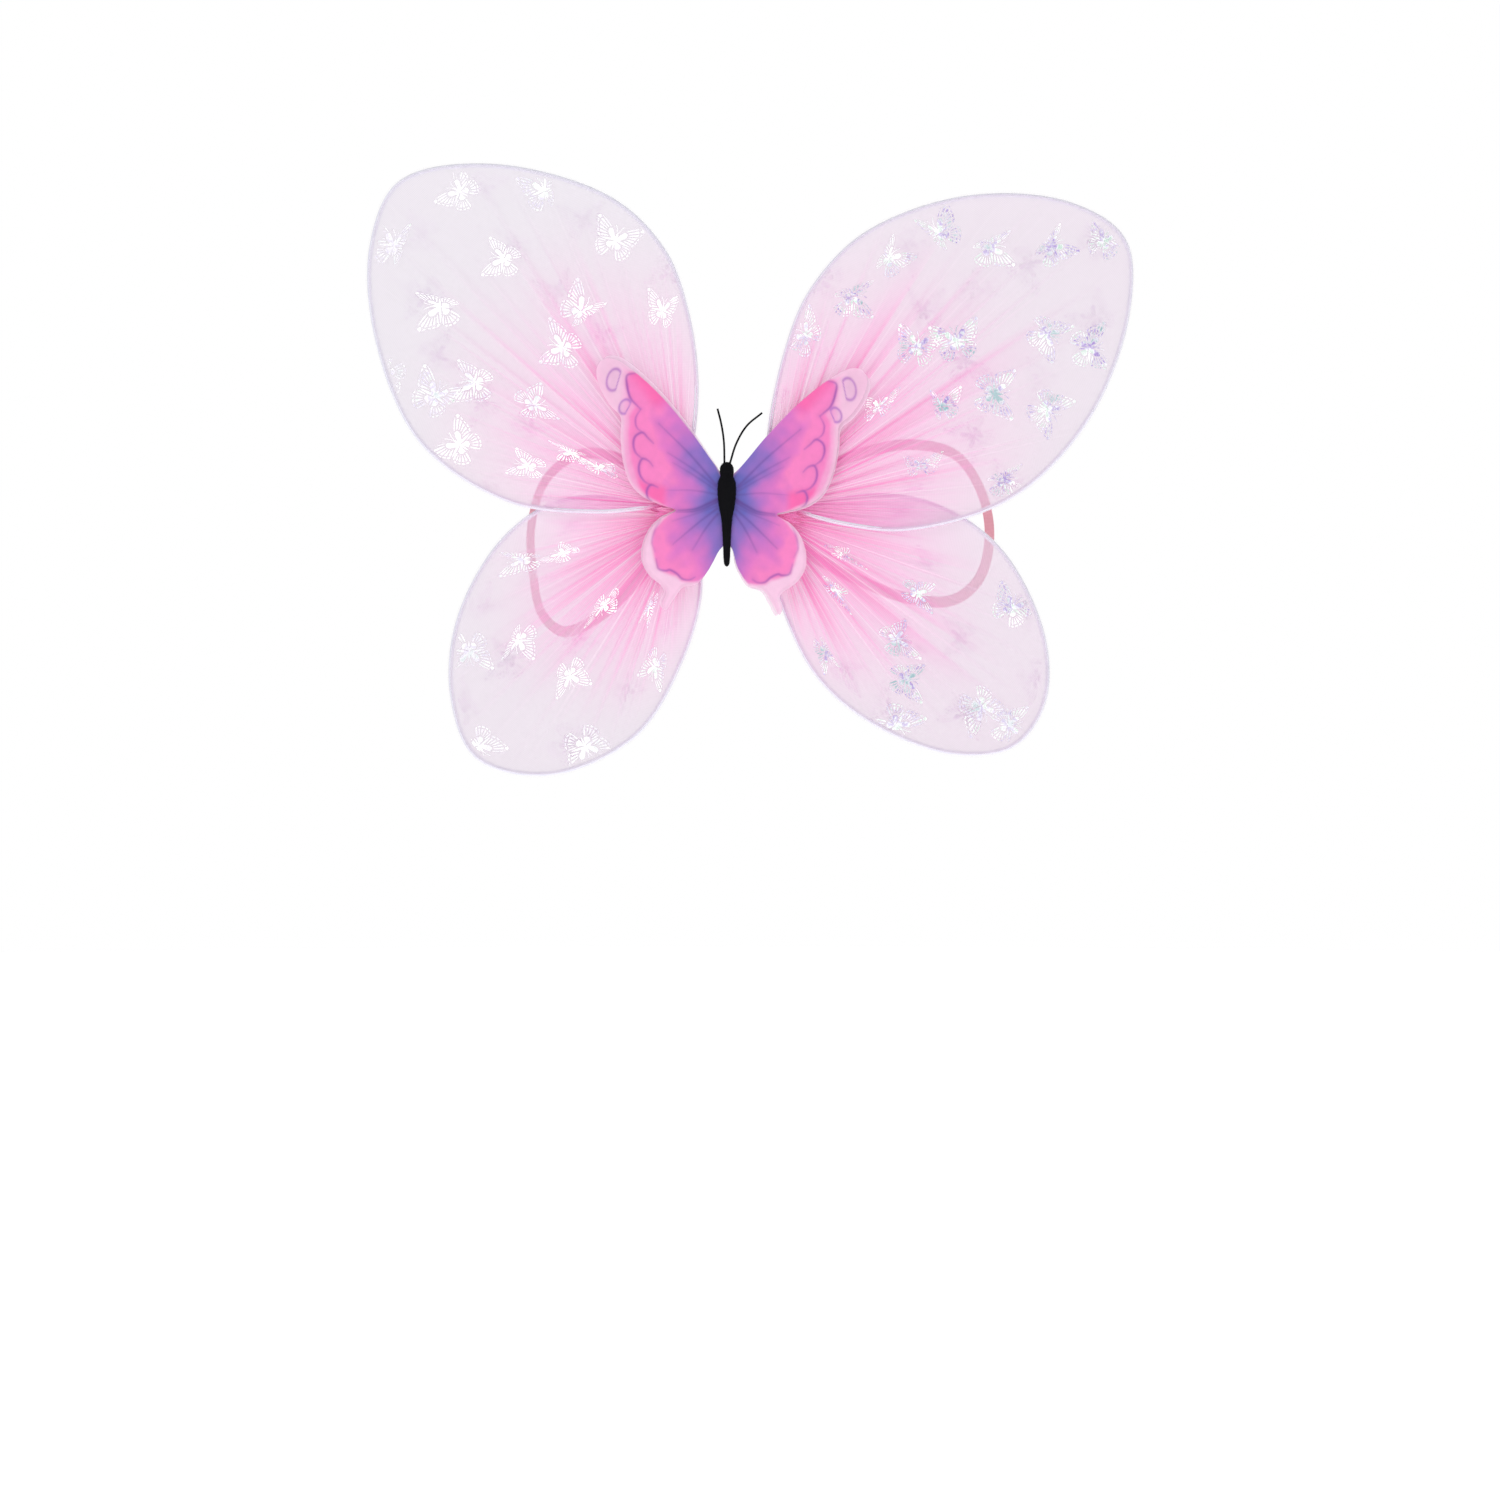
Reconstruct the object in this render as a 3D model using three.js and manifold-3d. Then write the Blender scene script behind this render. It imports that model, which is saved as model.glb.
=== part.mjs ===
// Fairy wings for a child: four wire-and-tulle wing lobes, a butterfly applique and two elastic arm loops.
// Millimetres. +Z is up, -Y faces outward, away from the wearer's back, and +Y faces the wearer.
// The origin is the centre of the back pad's face that rests on the wearer.
import * as THREE from 'three';
import { mergeVertices } from 'three/addons/utils/BufferGeometryUtils.js';
import Module from 'manifold-3d';

const wasm = await Module();
wasm.setup();

// Wing lobes
const upperReach = 230;        // root to far tip of an upper lobe
const lowerReach = 172;        // root to far tip of a lower lobe
const drawnUpperReach = 230;   // reach that the upper outlines below are drawn at
const drawnLowerReach = 172;   // reach that the lower outlines below are drawn at
const wireDiameter = 2.3;      // sheathed steel wire
const coverThickness = 0.6;    // one layer of tulle, as a plain plate
const upperElevation = 45;     // degrees, direction in which an upper lobe leaves its binding
const lowerElevation = -35;    // degrees, the same for a lower lobe

// Bindings that hold the wire ends together
const wireEndGap = 1.5;        // from the gather binding to the ends of its wire
const gatherLength = 10;       // wound thread round the gathered cloth of one lobe
const gatherInset = 3;         // length of the gather binding on the inner side of its pivot
const gatherRound = 1;         // radius at the ends of a gather binding
const wireEndOffset = 1.7;     // half the distance between a loop's two ends
const sideBindingHeight = 17;
const sideBindingRound = 1.5;  // radius at its ends
const foldSpacing = 24;        // left fold axis to right fold axis
const centreBindingHeight = 18;
const centreBindingRound = 2;  // radius along its edges

// Back pad, stiffener and elastic loops
const padWidth = 47;
const padHeight = 34;
const padThickness = 2;
const padCornerRadius = 15;
const plateMargin = 1;         // stiffener edge inside the pad's edge
const plateThickness = 1;
const strapWidth = 6;
const strapThickness = 1;
const strapPitch = 20;         // between the two ends of one loop, at the pad's edge
const strapLead = 4;           // length over which an end leaves the pad before the loop opens
const strapFlare = 1.5;        // how much each end has spread after that length

// Applique butterfly
const baseThickness = 1;
const baseHeight = 26;
const baseCornerRadius = 3;
const organzaThickness = 0.5;
const printThickness = 0.6;
const printTurn = 2.3;         // degrees, the whole butterfly sits a little clockwise
const organzaTurn = 1.6;       // degrees more for the under-layer, so its edge shows
const appliqueHalfGap = 5.5;   // body centre line to the line where a printed wing bends
const appliqueZ = 5;           // height of the butterfly's centre
const bodyDepth = 5;
const antennaDiameter = 1.2;

// How finely the curved pieces are divided
const wireSteps = 64;
const wireSides = 8;
const coverEdgePoints = 60;
const gatherSides = 14;
const sideBindingSides = 20;
const strapSteps = 56;
const bodySides = 24;
const antennaSteps = 14;
const antennaSides = 6;

// Clearances
const layerGap = 0.3;          // between pieces that lie on each other
const lobeClearance = 0.8;     // between the upper and lower lobes, which slide over each other
const pivotClearance = 0.5;    // between pieces that turn past each other

// Depths, from the wearer's side outward
const padFront = -padThickness;
const strapY = padFront - layerGap - strapThickness / 2;
const plateRear = strapY - strapThickness / 2 - layerGap;
const plateFront = plateRear - plateThickness;
const lobeHalf = wireDiameter / 2 + layerGap + coverThickness;
const lowerLobeY = plateFront - pivotClearance - lobeHalf;
const upperLobeY = lowerLobeY - 2 * lobeHalf - lobeClearance;
const foldY = (lowerLobeY + upperLobeY) / 2;
const sideBindingRadius = (lowerLobeY - upperLobeY) / 2 + lobeHalf - layerGap;
const baseRear = upperLobeY - lobeHalf - pivotClearance;
const organzaRear = baseRear - baseThickness - layerGap;
const printRear = organzaRear - organzaThickness - layerGap;
const bodyRear = printRear - printThickness - layerGap;
const foldX = foldSpacing / 2;
const rootX = foldX + sideBindingRadius + lobeClearance + gatherInset;
const centreHalfWidth = foldX - sideBindingRadius - pivotClearance;

// What the two upper lobes share, and what the two lower ones share.
const upper = { y: upperLobeY, elevation: upperElevation, scale: upperReach / drawnUpperReach };
const lower = { y: lowerLobeY, elevation: lowerElevation, scale: lowerReach / drawnLowerReach };

// Each lobe's wire, bent by hand: [outward, up] from the lobe's root, from one end round to the other.
const lobes = [
  {
    ...upper, name: 'upper_left', side: -1,
    outline: [[-1, 32], [-4, 68], [1, 105], [13, 137], [42, 165], [105, 182], [152, 173], [167, 140],
      [164, 90], [141, 37], [95, 6], [50, 0], [24, 2]],
  },
  {
    ...upper, name: 'upper_right', side: 1,
    outline: [[2, 36], [12, 87], [25, 117], [53, 146], [105, 165], [160, 162], [189, 143], [191, 104],
      [170, 49], [130, 8], [75, -9], [40, -6], [22, -1]],
  },
  {
    ...lower, name: 'lower_left', side: -1,
    outline: [[25, 4], [52, 8], [75, 3], [101, -18], [122, -58], [125, -97], [112, -129], [74, -138],
      [29, -118], [4, -78], [-6, -40], [-3, -20]],
  },
  {
    ...lower, name: 'lower_right', side: 1,
    outline: [[28, 4], [62, 9], [94, 2], [125, -21], [147, -66], [147, -101], [131, -123], [100, -127],
      [57, -111], [27, -85], [8, -45], [2, -22]],
  },
];

// One elastic loop each side: [outward, towards the wearer, up] from the body's centre line.
const straps = [
  {
    name: 'strap_left', side: -1,
    route: [[36, 0, 17], [58, 13, 30], [80, 25, 33], [98, 34, 20], [106, 38, -4], [105, 36, -30],
      [100, 32, -52], [88, 25, -62], [68, 15, -54], [48, 5, -36], [35, 0, -20]],
  },
  {
    name: 'strap_right', side: 1,
    route: [[38, 1, 17], [66, 16, 31], [98, 32, 39], [124, 43, 34], [138, 46, 14], [142, 43, -10],
      [136, 37, -33], [121, 30, -45], [96, 22, -44], [66, 12, -33], [39, 1, -19]],
  },
];

// Half of the butterfly's outline, tip first, then the notch, the lower wing and its tail: [outward, up].
const printOutline = [[8, 25], [20, 40.5], [37, 59], [52, 71.5], [62, 77], [68, 76.5], [71, 71], [69, 62],
  [63, 52.5], [57.5, 47], [57, 36], [55, 22.5], [50.5, 11.5], [43, 5], [32, 1], [26.5, -0.8], [34, -5.5],
  [39, -11], [42.6, -20], [42.5, -29], [38.5, -36], [32, -41], [29.8, -44], [31.5, -50], [30, -53.5],
  [25.5, -47], [21, -41], [14, -39], [8.5, -32]];
const printInnerTop = 20;      // ends of the straight inner edge, where the wing bends
const printInnerFoot = -24;
const printCentreRound = 2;    // corner radius of the strip between the two printed wings

// Butterfly body: [radius, height], from the tail to the top of the head.
const bodyProfile = [[0, -29], [1.3, -24], [1.8, -14], [2.6, -5], [4.3, 3], [4.8, 10], [4.5, 15], [3.5, 18],
  [3.8, 21], [3.2, 24], [0, 25.3]];

// Antennae: [across, towards the wearer, up] from the head to the tip.
// They lean out, clear of the folding lobes.
const antennae = [
  { name: 'antenna_left', route: [[-1.2, 0, 26.2], [-1.5, -1, 36], [-2.8, -2.5, 45], [-4.8, -4.5, 53]] },
  { name: 'antenna_right', route: [[1.6, 0, 26.2], [5, -2, 35], [10.5, -5, 44], [18.5, -8, 50.5]] },
];

const wings = new THREE.Group();

const finishes = {
  wire: { color: 0xe9e7f2, roughness: 0.35, metalness: 0 },
  tulle: { color: 0xf6c9e2, roughness: 0.75, metalness: 0 },
  thread: { color: 0xf6e6ee, roughness: 0.8, metalness: 0 },
  felt: { color: 0xf2b7cf, roughness: 0.95, metalness: 0 },
  stiffener: { color: 0xf4f1f4, roughness: 0.6, metalness: 0 },
  elastic: { color: 0xe47b8c, roughness: 0.8, metalness: 0 },
  print: { color: 0xf067b8, roughness: 0.7, metalness: 0 },
  organza: { color: 0xf7d9e8, roughness: 0.5, metalness: 0 },
  flock: { color: 0x0a0a0c, roughness: 1, metalness: 0 },
};

const materials = {};
for (const [name, finish] of Object.entries(finishes)) {
  materials[name] = new THREE.MeshStandardMaterial(finish);
}

function addPiece(name, geometry, finish, y = 0) {
  const mesh = new THREE.Mesh(geometry, materials[finish]);
  mesh.name = name;
  mesh.position.y = y;
  wings.add(mesh);
  return mesh;
}

// A flat plate in the XZ plane. Its rear face is at y = 0 and its front face at y = -thickness.
function plate(points, thickness) {
  const shape = new THREE.Shape(points);
  return new THREE.ExtrudeGeometry(shape, { depth: thickness, bevelEnabled: false }).rotateX(Math.PI / 2);
}

function roundedRectangle(width, height, radius) {
  const x = width / 2 - radius;
  const y = height / 2 - radius;
  const shape = new THREE.Shape();
  shape.absarc(x, y, radius, 0, Math.PI / 2);
  shape.absarc(-x, y, radius, Math.PI / 2, Math.PI);
  shape.absarc(-x, -y, radius, Math.PI, 1.5 * Math.PI);
  shape.absarc(x, -y, radius, 1.5 * Math.PI, 2 * Math.PI);
  return shape.getPoints(8);
}

function polygon(radius, sides) {
  const points = [];
  for (let i = 0; i < sides; i += 1) {
    const angle = (2 * Math.PI * i) / sides;
    points.push(new THREE.Vector2(radius * Math.cos(angle), radius * Math.sin(angle)));
  }
  return points;
}

function sweep(section, path, steps) {
  const shape = new THREE.Shape(section);
  return new THREE.ExtrudeGeometry(shape, { steps, extrudePath: path, bevelEnabled: false });
}

// A turned barrel with rounded ends, its axis along +Z and its middle at the origin.
function barrel(radius, length, endRound, sides) {
  const half = length / 2;
  const slope = endRound * Math.SQRT1_2;
  const profile = [
    new THREE.Vector2(0, -half),
    new THREE.Vector2(radius - endRound, -half),
    new THREE.Vector2(radius - endRound + slope, -half + endRound - slope),
    new THREE.Vector2(radius, -half + endRound),
    new THREE.Vector2(radius, half - endRound),
    new THREE.Vector2(radius - endRound + slope, half - endRound + slope),
    new THREE.Vector2(radius - endRound, half),
    new THREE.Vector2(0, half),
  ];
  return new THREE.LatheGeometry(profile, sides).rotateX(Math.PI / 2);
}

// The closed course of one lobe's wire, with both ends just past its gather binding.
function wirePath(lobe) {
  const angle = THREE.MathUtils.degToRad(lobe.elevation);
  const endRadius = gatherLength - gatherInset + wireEndGap;
  const along = new THREE.Vector2(Math.cos(angle), Math.sin(angle)).multiplyScalar(endRadius);
  const across = new THREE.Vector2(-Math.sin(angle), Math.cos(angle)).multiplyScalar(wireEndOffset);
  const first = along.clone().add(across);
  const last = along.clone().sub(across);
  const course = [
    [first.x, first.y],
    ...lobe.outline.map(([out, up]) => [out * lobe.scale, up * lobe.scale]),
    [last.x, last.y],
  ];
  const points = course.map(([out, up]) => new THREE.Vector3(lobe.side * (rootX + out), 0, up));
  return new THREE.CatmullRomCurve3(points, false, 'centripetal');
}

function addLobe(lobe) {
  const path = wirePath(lobe);
  const section = polygon(wireDiameter / 2, wireSides);
  addPiece(`${lobe.name}_wire`, sweep(section, path, wireSteps), 'wire', lobe.y);

  const edge = path.getSpacedPoints(coverEdgePoints).map((p) => new THREE.Vector2(p.x, p.z));
  const coverInset = wireDiameter / 2 + layerGap;
  const frontCover = plate(edge, coverThickness);
  const rearCover = plate(edge, coverThickness);
  addPiece(`${lobe.name}_cover_front`, frontCover, 'tulle', lobe.y - coverInset);
  addPiece(`${lobe.name}_cover_rear`, rearCover, 'tulle', lobe.y + coverInset + coverThickness);

  const angle = THREE.MathUtils.degToRad(lobe.elevation);
  const middle = gatherLength / 2 - gatherInset;
  const wound = barrel(lobeHalf, gatherLength, gatherRound, gatherSides);
  const gather = addPiece(`${lobe.name}_gather_binding`, wound, 'thread', lobe.y);
  gather.position.x = lobe.side * (rootX + middle * Math.cos(angle));
  gather.position.z = middle * Math.sin(angle);
  gather.rotation.y = lobe.side * (Math.PI / 2 - angle);
}

function addBindings() {
  for (const [name, side] of [['left', -1], ['right', 1]]) {
    const wound = barrel(sideBindingRadius, sideBindingHeight, sideBindingRound, sideBindingSides);
    addPiece(`side_binding_${name}`, wound, 'thread', foldY).position.x = side * foldX;
  }
  const depth = 2 * sideBindingRadius;
  const section = new THREE.Shape(roundedRectangle(2 * centreHalfWidth, depth, centreBindingRound));
  const block = new THREE.ExtrudeGeometry(section, { depth: centreBindingHeight, bevelEnabled: false });
  block.translate(0, 0, -centreBindingHeight / 2);
  addPiece('centre_binding', block, 'thread', foldY);
}

function addBack() {
  addPiece('back_pad', plate(roundedRectangle(padWidth, padHeight, padCornerRadius), padThickness), 'felt');
  const stiffener = roundedRectangle(
    padWidth - 2 * plateMargin,
    padHeight - 2 * plateMargin,
    padCornerRadius - plateMargin,
  );
  addPiece('centre_plate', plate(stiffener, plateThickness), 'stiffener', plateRear);
}

function addStrap(strap) {
  const edgeX = padWidth / 2 + pivotClearance + strapThickness / 2;
  const end = strapPitch / 2;
  const flare = end + strapFlare;
  const course = [
    [edgeX, strapY, end],
    [edgeX + strapLead, strapY, flare],
    ...strap.route,
    [edgeX + strapLead, strapY, -flare],
    [edgeX, strapY, -end],
  ];
  const points = course.map(([out, y, up]) => new THREE.Vector3(strap.side * out, y, up));
  const path = new THREE.CatmullRomCurve3(points, false, 'centripetal');
  const section = [
    new THREE.Vector2(-strapThickness / 2, -strapWidth / 2),
    new THREE.Vector2(strapThickness / 2, -strapWidth / 2),
    new THREE.Vector2(strapThickness / 2, strapWidth / 2),
    new THREE.Vector2(-strapThickness / 2, strapWidth / 2),
  ];
  addPiece(strap.name, sweep(section, path, strapSteps), 'elastic');
}

// One side of the butterfly: a straight inner edge at the bend, and the outline turned about the centre.
function butterflyHalf(side, clockwiseTurn) {
  const turn = THREE.MathUtils.degToRad(side * clockwiseTurn);
  const innerX = appliqueHalfGap + layerGap;
  const centre = new THREE.Vector2(0, appliqueZ);
  const outer = printOutline.map(([out, up]) => new THREE.Vector2(out, up).rotateAround(centre, -turn));
  const clear = outer.filter((p) => p.x > innerX + layerGap);
  const all = [new THREE.Vector2(innerX, printInnerTop), ...clear, new THREE.Vector2(innerX, printInnerFoot)];
  return all.map((p) => new THREE.Vector2(side * p.x, p.y));
}

function addApplique() {
  const base = roundedRectangle(2 * centreHalfWidth, baseHeight, baseCornerRadius);
  addPiece('applique_base', plate(base, baseThickness), 'felt', baseRear);
  for (const [name, side] of [['left', -1], ['right', 1]]) {
    const organza = plate(butterflyHalf(side, printTurn + organzaTurn), organzaThickness);
    const print = plate(butterflyHalf(side, printTurn), printThickness);
    addPiece(`organza_wing_${name}`, organza, 'organza', organzaRear);
    addPiece(`print_wing_${name}`, print, 'print', printRear);
  }
  const stripWidth = 2 * (appliqueHalfGap - layerGap);
  const strip = roundedRectangle(stripWidth, printInnerTop - printInnerFoot, printCentreRound);
  const middle = (printInnerTop + printInnerFoot) / 2;
  addPiece('print_centre', plate(strip, printThickness), 'print', printRear).position.z = middle;
}

function toSolid(geometry) {
  const bare = geometry.clone();
  bare.deleteAttribute('normal');
  bare.deleteAttribute('uv');
  const merged = mergeVertices(bare);
  return new wasm.Manifold(new wasm.Mesh({
    numProp: 3,
    vertProperties: new Float32Array(merged.attributes.position.array),
    triVerts: new Uint32Array(merged.index.array),
  }));
}

function toGeometry(solid) {
  const mesh = solid.getMesh();
  const geometry = new THREE.BufferGeometry();
  geometry.setAttribute('position', new THREE.BufferAttribute(mesh.vertProperties, 3));
  geometry.setIndex(new THREE.BufferAttribute(mesh.triVerts, 1));
  return geometry;
}

// The butterfly's body: a turned shape, pressed to its depth and cut flat where it is glued on.
function addButterflyBody() {
  const profile = bodyProfile.map(([radius, height]) => new THREE.Vector2(radius, height));
  const widest = Math.max(...bodyProfile.map(([radius]) => radius));
  const turned = new THREE.LatheGeometry(profile, bodySides).rotateX(Math.PI / 2);
  turned.scale(1, bodyDepth / widest, 1);
  const tallest = 4 * Math.max(...bodyProfile.map(([, height]) => Math.abs(height)));
  const outerHalf = new THREE.BoxGeometry(4 * widest, 2 * bodyDepth, tallest).translate(0, -bodyDepth, 0);
  addPiece('butterfly_body', toGeometry(toSolid(turned).intersect(toSolid(outerHalf))), 'flock', bodyRear);
  for (const antenna of antennae) {
    const points = antenna.route.map((place) => new THREE.Vector3(...place));
    const path = new THREE.CatmullRomCurve3(points);
    const section = polygon(antennaDiameter / 2, antennaSides);
    addPiece(antenna.name, sweep(section, path, antennaSteps), 'flock', bodyRear - bodyDepth / 4);
  }
}

lobes.forEach(addLobe);
addBindings();
addBack();
straps.forEach(addStrap);
addApplique();
addButterflyBody();

export default wings;
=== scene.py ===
import math

import bmesh
import bpy
import numpy as np
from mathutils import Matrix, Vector
from mathutils.geometry import delaunay_2d_cdt


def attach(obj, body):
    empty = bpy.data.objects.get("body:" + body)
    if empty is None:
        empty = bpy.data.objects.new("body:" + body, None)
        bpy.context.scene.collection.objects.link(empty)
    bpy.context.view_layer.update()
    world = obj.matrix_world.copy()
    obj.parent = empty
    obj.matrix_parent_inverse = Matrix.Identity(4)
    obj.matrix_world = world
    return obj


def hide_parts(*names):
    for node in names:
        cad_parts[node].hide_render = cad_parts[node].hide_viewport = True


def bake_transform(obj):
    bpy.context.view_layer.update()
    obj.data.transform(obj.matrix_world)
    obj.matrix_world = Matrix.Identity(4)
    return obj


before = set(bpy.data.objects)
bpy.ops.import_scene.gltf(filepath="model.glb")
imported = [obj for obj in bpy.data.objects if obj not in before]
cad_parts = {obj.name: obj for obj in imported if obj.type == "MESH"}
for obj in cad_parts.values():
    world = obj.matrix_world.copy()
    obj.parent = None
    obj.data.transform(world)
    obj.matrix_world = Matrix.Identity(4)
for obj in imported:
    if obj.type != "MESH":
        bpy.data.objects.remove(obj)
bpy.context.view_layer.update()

mm = 0.001
sides = ((-1, "left"), (1, "right"))
print("frame loaded")


# Object and node helpers.
def addObject(name, data):
    made = bpy.data.objects.new(name, data)
    bpy.context.scene.collection.objects.link(made)
    return made


def addNode(tree, kind, inputs=None, **settings):
    node = tree.nodes.new(kind)
    for name, value in settings.items():
        setattr(node, name, value)
    for key, value in (inputs or {}).items():
        if isinstance(value, bpy.types.NodeSocket):
            tree.links.new(value, node.inputs[key])
        else:
            node.inputs[key].default_value = value
    return node


def maths(tree, operation, a, b=0.0, clamp=False):
    return addNode(tree, "ShaderNodeMath", {0: a, 1: b}, operation=operation, use_clamp=clamp).outputs[0]


# Two values added up, each times its own share.
def weighed(tree, a, shareOfA, b, shareOfB):
    return maths(tree, "ADD", maths(tree, "MULTIPLY", a, shareOfA), maths(tree, "MULTIPLY", b, shareOfB))


def mixColours(tree, amount, a, b, blend="MIX"):
    a, b = ((*colour, 1) if isinstance(colour, tuple) else colour for colour in (a, b))
    node = addNode(tree, "ShaderNodeMix", {0: amount, 6: a, 7: b}, data_type="RGBA", blend_type=blend)
    return node.outputs[2]


def attribute(tree, name, output="Fac"):
    return addNode(tree, "ShaderNodeAttribute", attribute_name=name).outputs[output]


def objectPlace(tree):
    return addNode(tree, "ShaderNodeTexCoord").outputs["Object"]


def clothPlace(tree):
    return addNode(tree, "ShaderNodeUVMap", uv_map="cloth").outputs[0]


def noise(tree, place, scale, detail=3.0, rough=0.5):
    inputs = {"Vector": place, "Scale": scale, "Detail": detail, "Roughness": rough}
    return addNode(tree, "ShaderNodeTexNoise", inputs).outputs["Fac"]


def ramp(tree, amount, stops):
    node = addNode(tree, "ShaderNodeValToRGB", {0: amount})
    elements = node.color_ramp.elements
    while len(elements) < len(stops):
        elements.new(0.5)
    for element, (place, colour) in zip(elements, stops):
        element.position = place
        element.color = (*colour, 1)
    return node.outputs["Color"]


def rangeOf(tree, value, low, high, toLow, toHigh):
    inputs = {"Value": value, "From Min": low, "From Max": high, "To Min": toLow, "To Max": toHigh}
    return addNode(tree, "ShaderNodeMapRange", inputs).outputs[0]


# bump is a strength and a distance in metres.
def bumpNormal(tree, height, bump):
    inputs = {"Height": height, "Strength": bump[0], "Distance": bump[1]}
    return addNode(tree, "ShaderNodeBump", inputs).outputs[0]


def newMaterial(name, **constants):
    material = bpy.data.materials.new(name)
    material.use_nodes = True
    shader = material.node_tree.nodes["Principled BSDF"]
    for socket, value in constants.items():
        shader.inputs[socket.replace("_", " ")].default_value = value
    return material, material.node_tree, shader


def feed(tree, shader, **values):
    for socket, value in values.items():
        tree.links.new(value, shader.inputs[socket.replace("_", " ")])


# A node tree of either kind with its sockets, given back with its input and output nodes.
def newTree(kind, name, inputs, outputs):
    tree = bpy.data.node_groups.new(name, kind)
    for label, holds, value in inputs:
        socket = tree.interface.new_socket(label, in_out="INPUT", socket_type="NodeSocket" + holds)
        if value is not None:
            socket.default_value = value
    for label, holds in outputs:
        tree.interface.new_socket(label, in_out="OUTPUT", socket_type="NodeSocket" + holds)
    return tree, addNode(tree, "NodeGroupInput"), addNode(tree, "NodeGroupOutput")


# Camera, stage and light.
view = {
    "lens": 85.0,
    "sensor": 36.0,
    "distance": 1.877,     # from the camera to the plane of the wings
    "centreX": 0.0122,
    "centreZ": -0.1256,
    "floorZ": -0.62,
    "floorRadius": 7,
    "paper": (0.93, 0.92, 0.92, 1),
    "paperGlow": 0.62,
    "layersSeen": 40,      # how many transparent layers a ray may cross
}
light = {
    "worldSeen": 1.0,      # what the camera and mirror-like foil see
    "worldFill": 0.42,     # how much of it lights the cloth
}
white = (1, 1, 1, 1)
# Round lamps turned to the origin: place, size, power.
lamps = {
    "key": ((-0.9, -1.5, 1.1), 1.2, 9.5),
    "fill": ((1.2, -1.4, 0.2), 1.4, 4.0),
    "rim": ((0.4, 1.4, 0.9), 1.2, 5.0),
}


def makeStudio():
    scene = bpy.context.scene
    data = bpy.data.cameras.new("studioCamera")
    data.lens, data.sensor_width = view["lens"], view["sensor"]
    scene.camera = addObject("studioCamera", data)
    scene.camera.location = (view["centreX"], -view["distance"], view["centreZ"])
    scene.camera.rotation_euler = (math.pi / 2, 0, 0)

    scene.world = bpy.data.worlds.new("studio")
    scene.world.use_nodes = True
    tree = scene.world.node_tree
    background = tree.nodes["Background"]
    background.inputs["Color"].default_value = white
    rays = addNode(tree, "ShaderNodeLightPath")
    seen = maths(tree, "MAXIMUM", rays.outputs["Is Camera Ray"], rays.outputs["Is Glossy Ray"])
    feed(tree, background, Strength=rangeOf(tree, seen, 0, 1, light["worldFill"], light["worldSeen"]))

    for name, (place, size, power) in lamps.items():
        data = bpy.data.lights.new(name, "AREA")
        data.shape, data.size, data.energy = "DISK", size, power
        lamp = addObject(name, data)
        lamp.location = place
        lamp.rotation_euler = (-Vector(place)).to_track_quat("-Z", "Y").to_euler()

    bpy.ops.mesh.primitive_circle_add(
        vertices=96, radius=view["floorRadius"], fill_type="NGON", location=(0, 0, view["floorZ"]))
    floor = bpy.context.object
    floor.name = "studioFloor"
    paper = newMaterial("palePaper", Base_Color=view["paper"], Roughness=0.9,
                        Emission_Color=white, Emission_Strength=view["paperGlow"])[0]
    floor.data.materials.append(paper)

    scene.view_settings.view_transform = "Standard"
    scene.cycles.transparent_max_bounces = view["layersSeen"]
    print("studio ready")


makeStudio()


# Crossed threads on a cloth's own UV map, 1 on a thread and 0 in a hole.
def makeThreadGrid():
    inputs = [("Cloth", "Vector", None), ("Threads per metre", "Float", 1100.0)]
    tree, given, result = newTree("ShaderNodeTree", "threadGrid", inputs, [("Thread", "Float")])
    parts = addNode(tree, "ShaderNodeSeparateXYZ", {0: given.outputs["Cloth"]})
    waves = []
    for axis in (0, 1):
        turns = maths(tree, "MULTIPLY", parts.outputs[axis], given.outputs["Threads per metre"])
        wave = maths(tree, "SINE", maths(tree, "MULTIPLY", turns, 2 * math.pi))
        waves.append(rangeOf(tree, wave, -1, 1, 0, 1))
    feed(tree, result, Thread=maths(tree, "MAXIMUM", *waves))
    return tree


# Short tangled fibres: a soft mottling and a height for bump.
def makeFibres():
    inputs = [("Place", "Vector", None), ("Scale", "Float", 900.0)]
    outputs = [("Shade", "Float"), ("Height", "Float")]
    tree, given, result = newTree("ShaderNodeTree", "fibres", inputs, outputs)
    place, scale = given.outputs["Place"], given.outputs["Scale"]
    fine = addNode(tree, "ShaderNodeTexNoise", {
        "Vector": place, "Scale": scale, "Detail": 4.0, "Distortion": 1.5}).outputs[0]
    broad = addNode(tree, "ShaderNodeTexNoise", {"Vector": place, "Scale": 110.0}).outputs[0]
    feed(tree, result, Shade=weighed(tree, fine, 0.6, broad, 0.4), Height=fine)
    return tree


threadGrid = makeThreadGrid()
fibres = makeFibres()


def threadsOf(tree, perMetre):
    inputs = {"Cloth": clothPlace(tree), "Threads per metre": perMetre}
    return addNode(tree, "ShaderNodeGroup", inputs, node_tree=threadGrid).outputs[0]


def fibresOf(tree, scale):
    inputs = {"Place": objectPlace(tree), "Scale": scale}
    return addNode(tree, "ShaderNodeGroup", inputs, node_tree=fibres)


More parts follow.
